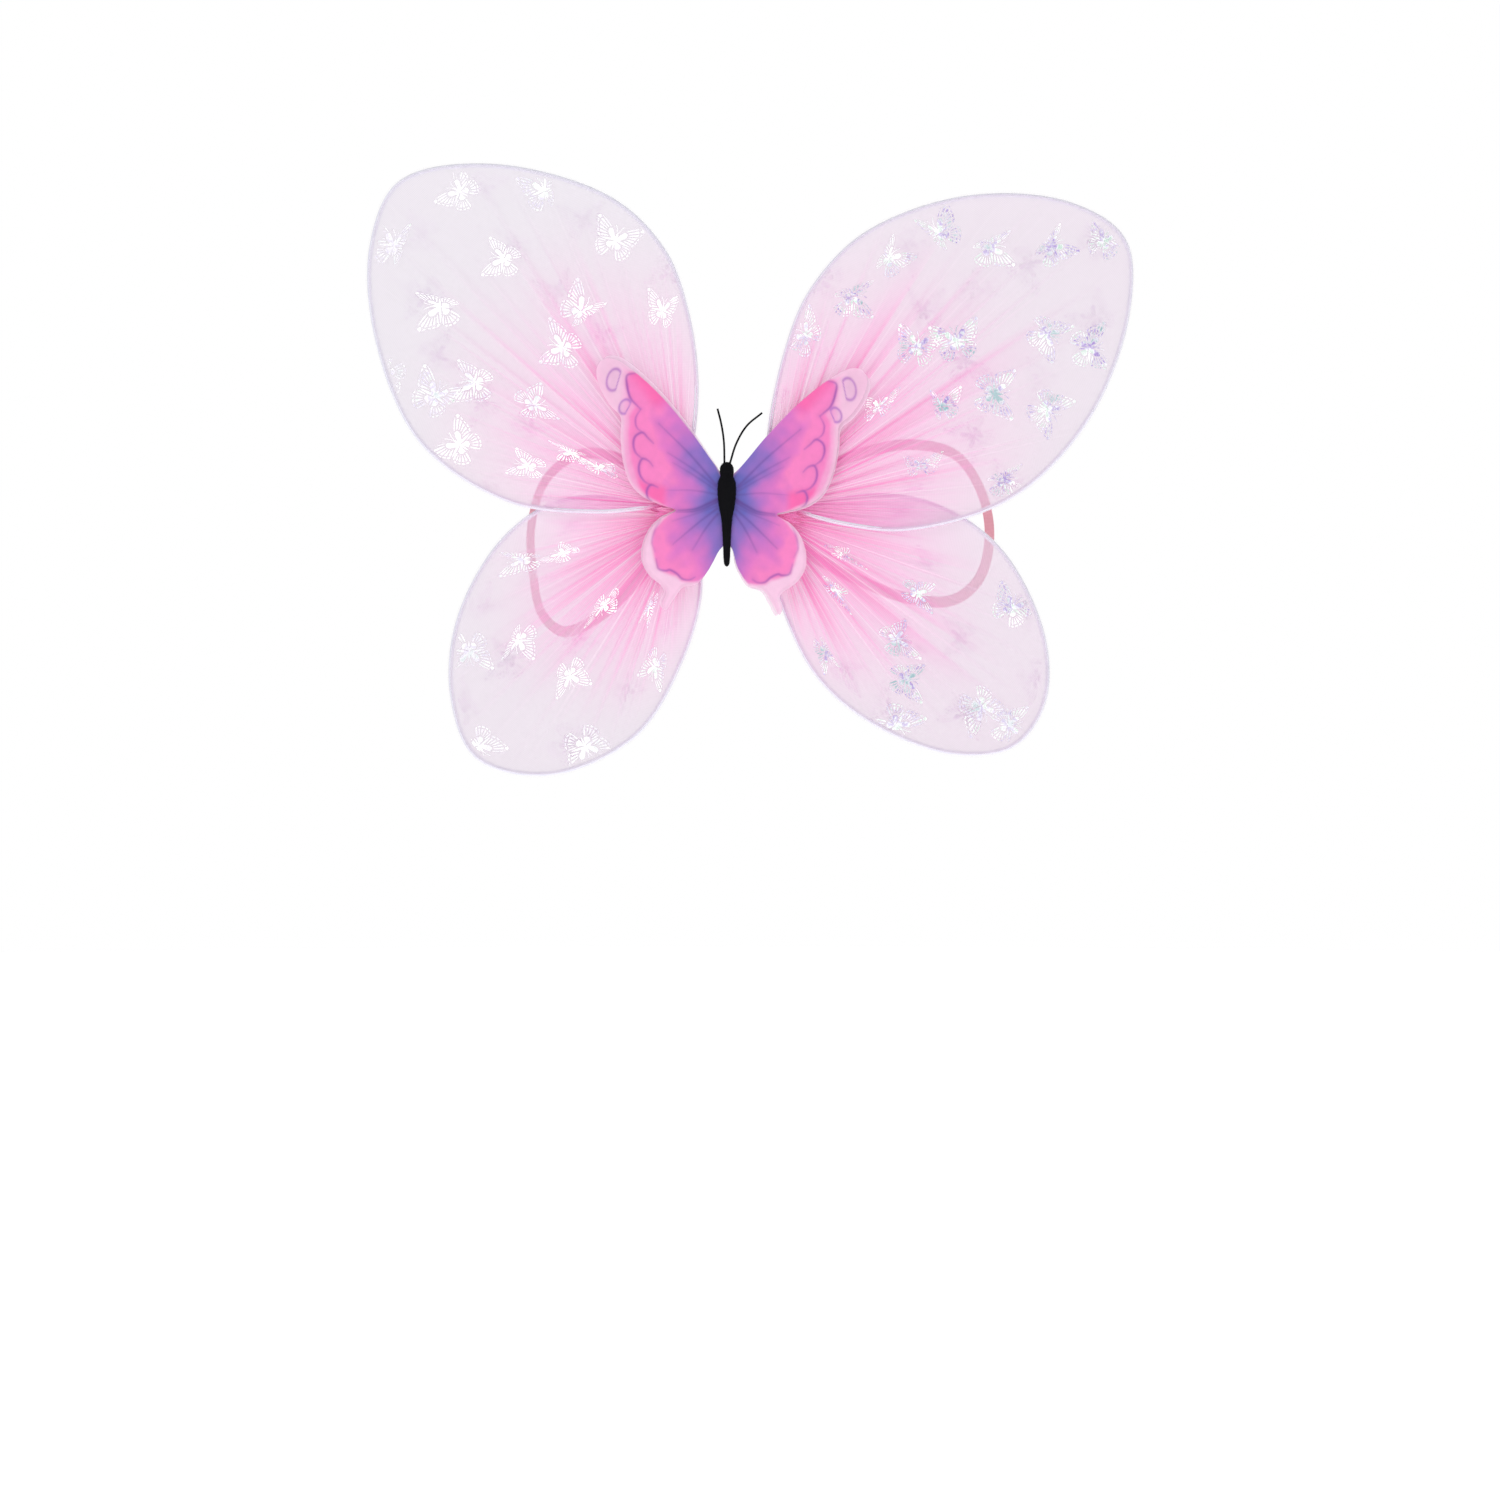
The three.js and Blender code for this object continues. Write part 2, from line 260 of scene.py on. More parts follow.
# Materials. Threads are per metre of cloth, and grain is the scale of a noise.
looks = {
    "tulle": {
        # The crease colour is a painted highlight: near-white on the sharp fold lines.
        "pale": (0.75, 0.71, 0.79), "blush": (0.92, 0.48, 0.76), "deep": (0.97, 0.20, 0.56),
        "creaseHighlight": (1.0, 0.84, 0.95), "threads": 1150.0, "weave": (0.92, 1.09), "bump": (0.05, 0.0001),
    },
    "organza": {
        "dark": (0.96, 0.66, 0.84), "fair": (0.92, 0.74, 0.90), "threads": 1600.0,
        "grain": 60.0, "weave": (0.62, 0.82), "bump": (0.2, 0.0001),
    },
    "foil": {
        "plain": (0.99, 0.98, 0.99), "crinkle": 420.0, "drift": 95.0, "cracks": 900.0,
        "roughness": (0.12, 0.42), "bump": (0.55, 0.0004),
        "pastel": [
            (0.1, (0.86, 0.90, 0.92)), (0.32, (0.20, 0.50, 0.34)), (0.43, (0.84, 0.88, 0.90)),
            (0.55, (0.30, 0.16, 0.56)), (0.68, (0.70, 0.70, 0.76)), (0.84, (0.24, 0.42, 0.46))],
    },
    "print": {
        "threads": 2200.0, "grain": 260.0, "level": 0.88, "mottle": 0.16, "weave": 0.06,
        "roughness": (0.5, 0.68), "bump": (0.25, 0.0001),
    },
    "sheath": {
        "dark": (0.80, 0.80, 0.92), "fair": (0.93, 0.93, 0.99), "whipped": (0.93, 0.22, 0.58),
        "grain": 300.0, "fineGrain": 1500.0, "roughness": (0.25, 0.42), "bump": (0.08, 0.0001),
    },
    "thread": {
        "dark": (0.80, 0.50, 0.64), "fair": (0.95, 0.76, 0.86), "grain": 1800.0, "bump": (0.4, 0.0002),
    },
    "felt": {
        "dark": (0.72, 0.30, 0.46), "fair": (0.93, 0.56, 0.70), "grain": 1300.0, "bump": (0.8, 0.0005),
    },
    "stiffener": {
        "dark": (0.80, 0.77, 0.80), "fair": (0.90, 0.88, 0.90), "grain": 240.0,
        "roughness": (0.35, 0.6), "bump": (0.15, 0.0002),
    },
    "elastic": {
        "dark": (0.79, 0.28, 0.35), "fair": (0.97, 0.54, 0.61), "grain": 2200.0,
        "crossings": 1300.0, "cords": 1200.0, "bump": (0.5, 0.0002),     # both per metre
    },
    "flock": {
        "dark": (0.001, 0.001, 0.002), "fair": (0.008, 0.008, 0.010), "grain": 2600.0,
        "bump": (0.6, 0.0004),
    },
}


def makeTulle(look):
    # The emission in the cloth's own colour is a painted glow: it lifts the shade between the folds,
    # standing in for light passing through the cloth.
    material, tree, shader = newMaterial("tulle", Roughness=0.62, Sheen_Weight=0.2, Emission_Strength=0.05)
    stops = [(0.0, look["pale"]), (0.45, look["blush"]), (1.0, look["deep"])]
    colour = ramp(tree, attribute(tree, "pink"), stops)
    # Painted highlight: the colour turns near-white along the sharp fold lines and on the tops of the
    # highest folds.
    colour = mixColours(tree, attribute(tree, "creaseHighlight"), colour, look["creaseHighlight"])
    thread = threadsOf(tree, look["threads"])
    weave = rangeOf(tree, thread, 0, 1, *look["weave"])
    feed(tree, shader, Base_Color=colour, Emission_Color=colour,
         Alpha=maths(tree, "MULTIPLY", attribute(tree, "cover"), weave, clamp=True),
         Normal=bumpNormal(tree, thread, look["bump"]))
    return material


def makeOrganza(look):
    material, tree, shader = newMaterial("organza", Roughness=0.4, Sheen_Weight=0.4)
    thread = threadsOf(tree, look["threads"])
    cloudy = noise(tree, objectPlace(tree), look["grain"])
    weave = rangeOf(tree, thread, 0, 1, *look["weave"])
    feed(tree, shader, Base_Color=mixColours(tree, cloudy, look["dark"], look["fair"]),
         Alpha=maths(tree, "MULTIPLY", weave, attribute(tree, "cover")),
         Normal=bumpNormal(tree, thread, look["bump"]))
    return material


def makeFoil(look):
    # The emission in the foil's own colour is a painted glow that keeps the foil bright where it faces away
    # from the lamps.
    material, tree, shader = newMaterial("foil", Metallic=0.8, Emission_Strength=0.10)
    place = objectPlace(tree)
    crinkle = noise(tree, place, look["crinkle"], 4.0)
    drift = noise(tree, place, look["drift"], 2.0)
    patches = rangeOf(tree, drift, 0.3, 0.55, 0, 1)
    tint = maths(tree, "MULTIPLY", patches, attribute(tree, "tint"), clamp=True)
    hue = rangeOf(tree, weighed(tree, drift, 1.0, crinkle, 0.5), 0.45, 1.05, 0, 1)
    colour = mixColours(tree, tint, look["plain"], ramp(tree, hue, look["pastel"]))
    # Foil breaks up where it is worn: alpha falls where fine noise dips under the wear.
    cracks = noise(tree, place, look["cracks"], 5.0, 0.7)
    broken = weighed(tree, cracks, 1.0, attribute(tree, "wear"), -0.5)
    feed(tree, shader, Base_Color=colour, Emission_Color=colour,
         Alpha=rangeOf(tree, broken, 0.12, 0.22, 0.05, 1.0),
         Roughness=rangeOf(tree, crinkle, 0, 1, *look["roughness"]),
         Normal=bumpNormal(tree, crinkle, look["bump"]))
    return material


def makePrint(look):
    material, tree, shader = newMaterial("printedSatin", Sheen_Weight=0.3)
    thread = threadsOf(tree, look["threads"])
    mottle = noise(tree, objectPlace(tree), look["grain"], 5.0)
    shade = weighed(tree, mottle, look["mottle"], thread, look["weave"])
    level = maths(tree, "ADD", shade, look["level"])
    grey = addNode(tree, "ShaderNodeCombineColor", {0: level, 1: level, 2: level}).outputs[0]
    feed(tree, shader, Base_Color=mixColours(tree, 1.0, attribute(tree, "ink", "Color"), grey, "MULTIPLY"),
         Roughness=rangeOf(tree, mottle, 0, 1, *look["roughness"]),
         Alpha=attribute(tree, "cover"), Normal=bumpNormal(tree, thread, look["bump"]))
    return material


def makeWireSheath(look):
    material, tree, shader = newMaterial("wireSheath", Coat_Weight=0.25, Coat_Roughness=0.2)
    place = objectPlace(tree)
    mottle = noise(tree, place, look["grain"])
    colour = mixColours(tree, mottle, look["dark"], look["fair"])
    feed(tree, shader, Base_Color=mixColours(tree, attribute(tree, "whipped"), colour, look["whipped"]),
         Roughness=rangeOf(tree, mottle, 0, 1, *look["roughness"]),
         Normal=bumpNormal(tree, noise(tree, place, look["fineGrain"]), look["bump"]))
    return material


def makeThreadMaterial(look):
    material, tree, shader = newMaterial("sewingThread", Roughness=0.6, Sheen_Weight=0.3)
    strands = noise(tree, objectPlace(tree), look["grain"])
    feed(tree, shader, Base_Color=mixColours(tree, strands, look["dark"], look["fair"]),
         Normal=bumpNormal(tree, strands, look["bump"]))
    return material


# Felt and flock: short fibres on a matt ground.
def makeFibrous(name, look, **constants):
    material, tree, shader = newMaterial(name, Roughness=0.95, **constants)
    hair = fibresOf(tree, look["grain"])
    feed(tree, shader, Base_Color=mixColours(tree, hair.outputs["Shade"], look["dark"], look["fair"]),
         Normal=bumpNormal(tree, hair.outputs["Height"], look["bump"]))
    return material


def makeStiffener(look):
    material, tree, shader = newMaterial("stiffenerSheet")
    mottle = noise(tree, objectPlace(tree), look["grain"], 5.0)
    feed(tree, shader, Base_Color=mixColours(tree, mottle, look["dark"], look["fair"]),
         Roughness=rangeOf(tree, mottle, 0, 1, *look["roughness"]),
         Normal=bumpNormal(tree, mottle, look["bump"]))
    return material


def makeElastic(look):
    material, tree, shader = newMaterial("braidedElastic", Roughness=0.8, Sheen_Weight=0.35)
    parts = addNode(tree, "ShaderNodeSeparateXYZ", {0: clothPlace(tree)})
    along = maths(tree, "MULTIPLY", parts.outputs[0], 2 * math.pi * look["crossings"])
    across = maths(tree, "MULTIPLY", parts.outputs[1], 2 * math.pi * look["cords"])
    plait = maths(tree, "SINE", maths(tree, "ADD", along, maths(tree, "SINE", across)))
    knit = rangeOf(tree, plait, -1, 1, 0, 1)
    shade = weighed(tree, knit, 0.55, fibresOf(tree, look["grain"]).outputs["Shade"], 0.45)
    feed(tree, shader, Base_Color=mixColours(tree, shade, look["dark"], look["fair"]),
         Normal=bumpNormal(tree, knit, look["bump"]))
    return material


tulle = makeTulle(looks["tulle"])
organza = makeOrganza(looks["organza"])
foil = makeFoil(looks["foil"])
printedSatin = makePrint(looks["print"])
wireSheath = makeWireSheath(looks["sheath"])
sewingThread = makeThreadMaterial(looks["thread"])
pinkFelt = makeFibrous("pinkFelt", looks["felt"], Sheen_Weight=0.5, Sheen_Roughness=0.6)
stiffenerSheet = makeStiffener(looks["stiffener"])
braidedElastic = makeElastic(looks["elastic"])
blackFlock = makeFibrous("blackFlock", looks["flock"], Specular_IOR_Level=0.12)
print("materials ready")


# Mesh helpers, all in millimetres.
def newMesh(name, points, faces, material, smooth=True):
    mesh = bpy.data.meshes.new(name)
    mesh.from_pydata([tuple(p) for p in np.asarray(points, float) * mm], [], [tuple(f) for f in faces])
    mesh.materials.append(material)
    mesh.update()
    if smooth:
        mesh.shade_smooth()
    return mesh


def newPiece(name, points, faces, material, smooth=True):
    return addObject(name, newMesh(name, points, faces, material, smooth))


def giveValues(piece, name, values):
    layer = piece.data.attributes.new(name, "FLOAT", "POINT")
    layer.data.foreach_set("value", np.asarray(values, np.float32).ravel())


def giveColours(piece, name, colours):
    layer = piece.data.attributes.new(name, "FLOAT_COLOR", "POINT")
    full = np.c_[colours, np.ones(len(colours))].astype(np.float32)
    layer.data.foreach_set("color", full.ravel())


# A UV map in metres of cloth, from one pair of millimetre values for each vertex.
def giveCloth(piece, across, along):
    layer = piece.data.uv_layers.new(name="cloth")
    corner = np.zeros(len(piece.data.loops), int)
    piece.data.loops.foreach_get("vertex_index", corner)
    pairs = np.c_[np.ravel(across), np.ravel(along)][corner] * mm
    layer.data.foreach_set("uv", pairs.astype(np.float32).ravel())


def gridFaces(rows, columns, flip=False, closed=False):
    faces = []
    for row in range(rows - 1):
        for column in range(columns if closed else columns - 1):
            nextColumn = (column + 1) % columns
            face = [row * columns + column, row * columns + nextColumn,
                    (row + 1) * columns + nextColumn, (row + 1) * columns + column]
            faces.append(face[::-1] if flip else face)
    return faces


def smoothstep(low, high, value):
    t = np.clip((value - low) / (high - low), 0, 1)
    return t * t * (3 - 2 * t)


# Centripetal Catmull-Rom curve through the points, open, as the CAD wires are bent.
def curveThrough(points, steps=24):
    points = np.asarray(points, float)
    ends = np.vstack([2 * points[0] - points[1], points, 2 * points[-1] - points[-2]])
    made = []
    for i in range(len(points) - 1):
        before, start, stop, after = ends[i:i + 4]
        a, b, c = (np.linalg.norm(d) ** 0.5 for d in (start - before, stop - start, after - stop))
        leave = ((start - before) / a - (stop - before) / (a + b) + (stop - start) / b) * b
        arrive = ((stop - start) / b - (after - start) / (b + c) + (after - stop) / c) * b
        t = np.linspace(0, 1, steps, endpoint=False)[:, None]
        bow = -3 * start + 3 * stop - 2 * leave - arrive
        made.append(start + leave * t + bow * t ** 2 + (2 * start - 2 * stop + leave + arrive) * t ** 3)
    made.append(points[-1:])
    return np.vstack(made)


def lengthsAlong(path):
    return np.r_[0, np.cumsum(np.linalg.norm(np.diff(path, axis=0), axis=1))]


def spacedAlong(path, count):
    lengths = lengthsAlong(path)
    wanted = np.linspace(0, lengths[-1], count)
    return np.stack([np.interp(wanted, lengths, path[:, k]) for k in range(path.shape[1])], axis=1)


def distanceTo(line, points):
    best = np.full(len(points), 1e9)
    share = np.zeros(len(points))
    lengths = lengthsAlong(line)
    for a, b, start in zip(line[:-1], line[1:], lengths[:-1]):
        d = b - a
        size = float(d @ d)
        t = np.clip(((points - a) @ d) / size, 0, 1)
        gap = np.linalg.norm(points - a - t[:, None] * d, axis=1)
        closer = gap < best
        best = np.where(closer, gap, best)
        share = np.where(closer, (start + t * math.sqrt(size)) / lengths[-1], share)
    return best, share


def isInside(points, polygon):
    inside = np.zeros(len(points), bool)
    for a, b in zip(polygon, np.roll(polygon, -1, axis=0)):
        crosses = (a[1] > points[:, 1]) != (b[1] > points[:, 1])
        rise = b[1] - a[1] if b[1] != a[1] else 1.0
        at = (b[0] - a[0]) * (points[:, 1] - a[1]) / rise + a[0]
        inside ^= crosses & (points[:, 0] < at)
    return inside


def ringOf(polygon):
    return np.vstack([polygon, polygon[:1]])


def tangentsOf(line):
    tangent = np.gradient(line, axis=0)
    return tangent / np.linalg.norm(tangent, axis=1)[:, None]


# Places [outward, up] put on the plane at y.
def onPlane(flat, y):
    return np.c_[flat[:, 0], np.full(len(flat), y), flat[:, 1]]


# Geometry node trees.
def newGrower(name, inputs):
    shape = ("Geometry", "Geometry")
    inputs = [(*shape, None), *inputs, ("Material", "Material", None)]
    return newTree("GeometryNodeTree", name, inputs, [shape])


def closeTree(tree, given, result, geometry):
    shaded = addNode(tree, "GeometryNodeSetShadeSmooth", {0: geometry})
    real = addNode(tree, "GeometryNodeRealizeInstances", {0: shaded.outputs[0]})
    dressed = addNode(tree, "GeometryNodeSetMaterial", {
        "Geometry": real.outputs[0], "Material": given.outputs["Material"]})
    tree.links.new(dressed.outputs[0], result.inputs[0])
    return tree


# A round tube along the edges of a mesh: wires, wound threads and antennae.
def makeTubeTree():
    tree, given, result = newGrower("tubeAlongPath", [("Radius", "Float", 0.001), ("Sides", "Int", 12)])
    course = addNode(tree, "GeometryNodeMeshToCurve", {0: given.outputs["Geometry"]})
    ring = addNode(tree, "GeometryNodeCurvePrimitiveCircle", {
        "Resolution": given.outputs["Sides"], "Radius": given.outputs["Radius"]})
    body = addNode(tree, "GeometryNodeCurveToMesh", {
        "Curve": course.outputs[0], "Profile Curve": ring.outputs[0], "Fill Caps": True})
    return closeTree(tree, given, result, body.outputs[0])


# Stitches laid end to end along a path, each a short bar of thread with round ends.
def makeStitchTree():
    tree, given, result = newGrower("stitchRow", [
        ("Stitches", "Int", 40), ("Length", "Float", 0.002), ("Thickness", "Float", 0.0004)])
    course = addNode(tree, "GeometryNodeMeshToCurve", {0: given.outputs["Geometry"]})
    points = addNode(tree, "GeometryNodeCurveToPoints", {
        "Curve": course.outputs[0], "Count": given.outputs["Stitches"]})
    bead = addNode(tree, "GeometryNodeMeshUVSphere", {"Segments": 8, "Rings": 6, "Radius": 0.5})
    thick = given.outputs["Thickness"]
    size = addNode(tree, "ShaderNodeCombineXYZ", {0: thick, 1: thick, 2: given.outputs["Length"]})
    turned = addNode(tree, "FunctionNodeAlignEulerToVector", {
        "Vector": points.outputs["Tangent"]}, axis="Z")
    laid = addNode(tree, "GeometryNodeInstanceOnPoints", {
        "Points": points.outputs["Points"], "Instance": bead.outputs["Mesh"],
        "Rotation": turned.outputs[0], "Scale": size.outputs[0]})
    return closeTree(tree, given, result, laid.outputs[0])


# Short fibres standing on a surface, which stays under them.
def makeFlockTree():
    tree, given, result = newGrower("flockCoat", [
        ("Density", "Float", 1e6), ("Length", "Float", 0.0004), ("Thickness", "Float", 0.00005),
        ("Seed", "Int", 4)])
    seed, surface = given.outputs["Seed"], given.outputs["Geometry"]
    points = addNode(tree, "GeometryNodeDistributePointsOnFaces", {
        "Mesh": surface, "Density": given.outputs["Density"], "Seed": seed})
    fibre = addNode(tree, "GeometryNodeMeshCone", {
        "Vertices": 3, "Radius Bottom": given.outputs["Thickness"], "Depth": given.outputs["Length"]})
    leaning = {0: (-0.5, -0.5, 0.0), 1: (0.5, 0.5, 6.0)}
    tilt = addNode(tree, "FunctionNodeRandomValue", leaning, data_type="FLOAT_VECTOR")
    tree.links.new(seed, tilt.inputs["Seed"])
    laid = addNode(tree, "GeometryNodeInstanceOnPoints", {
        "Points": points.outputs["Points"], "Instance": fibre.outputs["Mesh"],
        "Rotation": points.outputs["Rotation"]})
    leaned = addNode(tree, "GeometryNodeRotateInstances", {
        "Instances": laid.outputs[0], "Rotation": tilt.outputs[0]})
    both = addNode(tree, "GeometryNodeJoinGeometry")
    tree.links.new(surface, both.inputs[0])
    tree.links.new(leaned.outputs[0], both.inputs[0])
    return closeTree(tree, given, result, both.outputs[0])


tubeTree = makeTubeTree()
stitchTree = makeStitchTree()
flockTree = makeFlockTree()


# Runs a tree on a mesh and gives the mesh that it makes.
def grown(tree, source, values):
    carrier = addObject("carrier", source)
    modifier = carrier.modifiers.new("grow", "NODES")
    modifier.node_group = tree
    for item in tree.interface.items_tree:
        if item.in_out == "INPUT" and item.name in values:
            modifier[item.identifier] = values[item.name]
    shown = carrier.evaluated_get(bpy.context.evaluated_depsgraph_get())
    made = bpy.data.meshes.new_from_object(shown)
    carrier.modifiers.remove(modifier)
    bpy.data.objects.remove(carrier)
    return made


def pathMesh(path, closed=False):
    mesh = bpy.data.meshes.new("path")
    edges = [(i, i + 1) for i in range(len(path) - 1)]
    if closed:
        edges.append((len(path) - 1, 0))
    mesh.from_pydata([tuple(p) for p in np.asarray(path, float) * mm], edges, [])
    return mesh


def tubeMesh(path, radius, corners, material, closed=False):
    values = {"Radius": radius * mm, "Sides": corners, "Material": material}
    return grown(tubeTree, pathMesh(path, closed), values)


# One piece from several meshes that share a material.
def pieceFrom(name, *meshes):
    joined = bmesh.new()
    for mesh in meshes:
        joined.from_mesh(mesh)
    mesh = bpy.data.meshes.new(name)
    joined.to_mesh(mesh)
    joined.free()
    mesh.materials.append(meshes[0].materials[0])
    mesh.shade_smooth()
    return addObject(name, mesh)


# Wing lobes.
wing = {
    "rootX": 20.0,           # centre line to the root of every lobe
    "upperY": -12.05,
    "lowerY": -7.15,
    "wireRadius": 1.15,
    "wireEndRadius": 8.5,    # root to the ends of the wire
    "wireEndOffset": 1.7,
    "wireSteps": 260,
    "tailReach": 2.5,        # the wire's tails run on into the binding
    "tailOffset": 0.9,
}
# Each lobe's wire: [outward, up] from its root, from one end round to the other.
lobes = [
    {"name": "upper_left", "side": -1, "y": wing["upperY"], "elevation": 45, "tint": 0.04, "outline": [
        [-1, 32], [-4, 68], [1, 105], [13, 137], [42, 165], [105, 182], [152, 173], [167, 140],
        [164, 90], [141, 37], [95, 6], [50, 0], [24, 2]]},
    {"name": "upper_right", "side": 1, "y": wing["upperY"], "elevation": 45, "tint": 0.09, "outline": [
        [2, 36], [12, 87], [25, 117], [53, 146], [105, 165], [160, 162], [189, 143], [191, 104],
        [170, 49], [130, 8], [75, -9], [40, -6], [22, -1]]},
    {"name": "lower_left", "side": -1, "y": wing["lowerY"], "elevation": -35, "tint": 0.08, "outline": [
        [25, 4], [52, 8], [75, 3], [101, -18], [122, -58], [125, -97], [112, -129], [74, -138],
        [29, -118], [4, -78], [-6, -40], [-3, -20]]},
    {"name": "lower_right", "side": 1, "y": wing["lowerY"], "elevation": -35, "tint": 0.12, "outline": [
        [28, 4], [62, 9], [94, 2], [125, -21], [147, -66], [147, -101], [131, -123], [100, -127],
        [57, -111], [27, -85], [8, -45], [2, -22]]},
]


def isUpper(lobe):
    return lobe["elevation"] > 0


def lobeAxes(lobe):
    angle = math.radians(lobe["elevation"])
    along = np.array([math.cos(angle), math.sin(angle)])
    return along, np.array([-along[1], along[0]])


def wireCourse(lobe):
    along, across = lobeAxes(lobe)
    end, offset = along * wing["wireEndRadius"], across * wing["wireEndOffset"]
    return curveThrough([end + offset, *lobe["outline"], end - offset])


def makeWire(lobe):
    course = spacedAlong(wireCourse(lobe), wing["wireSteps"])
    along, across = lobeAxes(lobe)
    tail, offset = along * wing["tailReach"], across * wing["tailOffset"]
    course = np.vstack([tail + offset, course, tail - offset])
    path = onPlane((course + [wing["rootX"], 0]) * [lobe["side"], 1], lobe["y"])
    piece = pieceFrom(f"{lobe['name']}_hoop", tubeMesh(path, wing["wireRadius"], 12, wireSheath))
    places = np.zeros(len(piece.data.vertices) * 3)
    piece.data.vertices.foreach_get("co", places)
    x, _, z = places.reshape(-1, 3).T / mm
    giveValues(piece, "whipped", 1 - smoothstep(15, 27, np.hypot(np.abs(x) - wing["rootX"], z)))
    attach(piece, "lobe_" + lobe["name"])
    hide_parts(f"{lobe['name']}_wire")


for lobe in lobes:
    makeWire(lobe)
print("wires bent")


# Gathered tulle.
sleeve = {
    "columns": 520,
    "rows": 40,
    "apex": 5.0,             # root to the point that the pleats fan out from
    "mouth": 1.4,            # half width of the bunch there
    "edgeCut": 8.0,          # the cloth starts where the wire is this far from the apex
    "rimRadius": 1.32,       # cloth lying round the wire
    "seam": 0.9,             # seam allowance outside the wire
    "pleatDepth": 1.15,
    "cover": 0.32,           # share of the view that one flat layer hides
}


# Folds of each kind: their number, and the ranges of where they end, their widths and their heights.
# Lines are sharp edges, which also carry a painted highlight, darts are thin darker rays and bands are broad
# darker and lighter ones.
foldKinds = {
    "main": (34, (0.42, 0.98), (2.6, 6.5), (0.5, 1.0)),
    "fine": (60, (0.18, 0.55), (1.6, 3.4), (0.3, 0.8)),
    "lines": (26, (0.6, 1.2), (0.7, 1.3), (0.35, 1.0)),
    "darts": (34, (0.6, 1.25), (0.7, 1.9), (0.3, 1.0)),
    "bands": (16, (0.5, 1.1), (6.0, 19.0), (0.3, 1.0)),
}


# Where the cloth of one lobe's layer lies.
# s is the length along the wire, and g runs from 0 at the root to 1 there.
class Fan:
    def __init__(self, lobe, facing, seed):
        self.lobe, self.facing = lobe, facing
        course = spacedAlong(wireCourse(lobe), 1600)
        along, across = lobeAxes(lobe)
        self.apex = along * sleeve["apex"]
        reach = np.linalg.norm(course - self.apex, axis=1)
        far = np.flatnonzero(reach > sleeve["edgeCut"])
        self.rim = course[far[0]:far[-1] + 1]
        self.s = lengthsAlong(self.rim)
        self.length = self.s[-1]
        self.mouth = across * sleeve["mouth"]
        self.rimReach = np.linalg.norm(self.rim - self.apex, axis=1)
        bearing = np.arctan2((self.rim - self.apex) @ across, (self.rim - self.apex) @ along)
        self.turning = 1 if bearing[-1] > bearing[0] else -1
        self.bearing = np.maximum.accumulate(self.turning * bearing)
        tangent = tangentsOf(self.rim)
        normal = np.c_[tangent[:, 1], -tangent[:, 0]]
        inward = self.rim.mean(0) - self.rim
        normal *= np.where((normal * inward).sum(1) > 0, -1, 1)[:, None]
        self.normal = normal
        random = np.random.default_rng(seed)
        self.rows = {kind: self.pleats(random, *values) for kind, values in foldKinds.items()}
        self.wander = random.uniform(0, 6.28, 6)

    def pleats(self, random, count, ends, widths, heights):
        step = self.length / count
        return {
            "place": (np.arange(count) + random.uniform(0.1, 0.9, count)) * step,
            "end": random.uniform(*ends, count),
            "width": random.uniform(*widths, count),
            "height": random.uniform(*heights, count),
        }

    # Ridges added up. With an edge, each is steep on one side, like cloth folded over itself.
    def sumOf(self, kind, s, g, edge=None):
        rows = self.rows[kind]
        total = np.zeros(np.broadcast(s, g).shape)
        for place, end, width, height in zip(rows["place"], rows["end"], rows["width"], rows["height"]):
            fade = 1 - smoothstep(0.35 * end, end, g)
            across = s - place
            if edge:
                steep = across > 0 if height > 0.65 else across < 0
                across = np.where(steep, across * width / edge, across)
            total += height * np.exp(-(across / width) ** 2) * fade
        return total

    def onRim(self, s, what):
        return np.stack([np.interp(s, self.s, what[:, k]) for k in (0, 1)], axis=-1)

    def folds(self, s, g):
        return np.clip(self.sumOf("main", s, g) + 0.6 * self.sumOf("fine", s, g), 0, 1.5)

    # Millimetres in the row frame, lifted off the cloth by lift on the side that it faces.
    def place(self, s, g, lift=0.0):
        share = s / self.length
        start = self.apex + (1 - 2 * share)[..., None] * self.mouth
        rim = self.onRim(s, self.rim)
        flat = start + (rim - start) * g[..., None]
        wave = 0.16 * np.sin(s / 17 + self.wander[0]) + 0.1 * np.sin(s / 7.3 + self.wander[1])
        deepening = 0.4 + 0.6 * smoothstep(0.1, 0.5, g)
        depth = 0.55 + wave * (1 - g) + sleeve["pleatDepth"] * deepening * self.folds(s, g)
        depth = depth + (sleeve["rimRadius"] - depth) * smoothstep(0.86, 1.0, g)
        bunch = 0.9 + 0.5 * np.sin(s / 3.1 + self.wander[2])
        depth = bunch + (depth - bunch) * smoothstep(0.0, 0.12, g)
        y = self.lobe["y"] + self.facing * (np.clip(depth, 0.15, 1.95) + lift)
        return np.stack([self.lobe["side"] * (wing["rootX"] + flat[..., 0]), y, flat[..., 1]], axis=-1)

    # The length along the wire and the share of the way there of places [out, up] from the root.
    def find(self, flat):
        along, across = lobeAxes(self.lobe)
        offset = flat - self.apex
        bearing = self.turning * np.arctan2(offset @ across, offset @ along)
        clear = np.flatnonzero(self.rimReach > 30)[[0, -1]]
        within = (bearing > self.bearing[clear[0]]) & (bearing < self.bearing[clear[1]])
        s = np.interp(bearing, self.bearing[clear[0]:clear[1]], self.s[clear[0]:clear[1]])
        g = np.linalg.norm(offset, axis=1) / np.interp(s, self.s, self.rimReach)
        return s, g, within & (g < 0.985) & (g > 0.12)


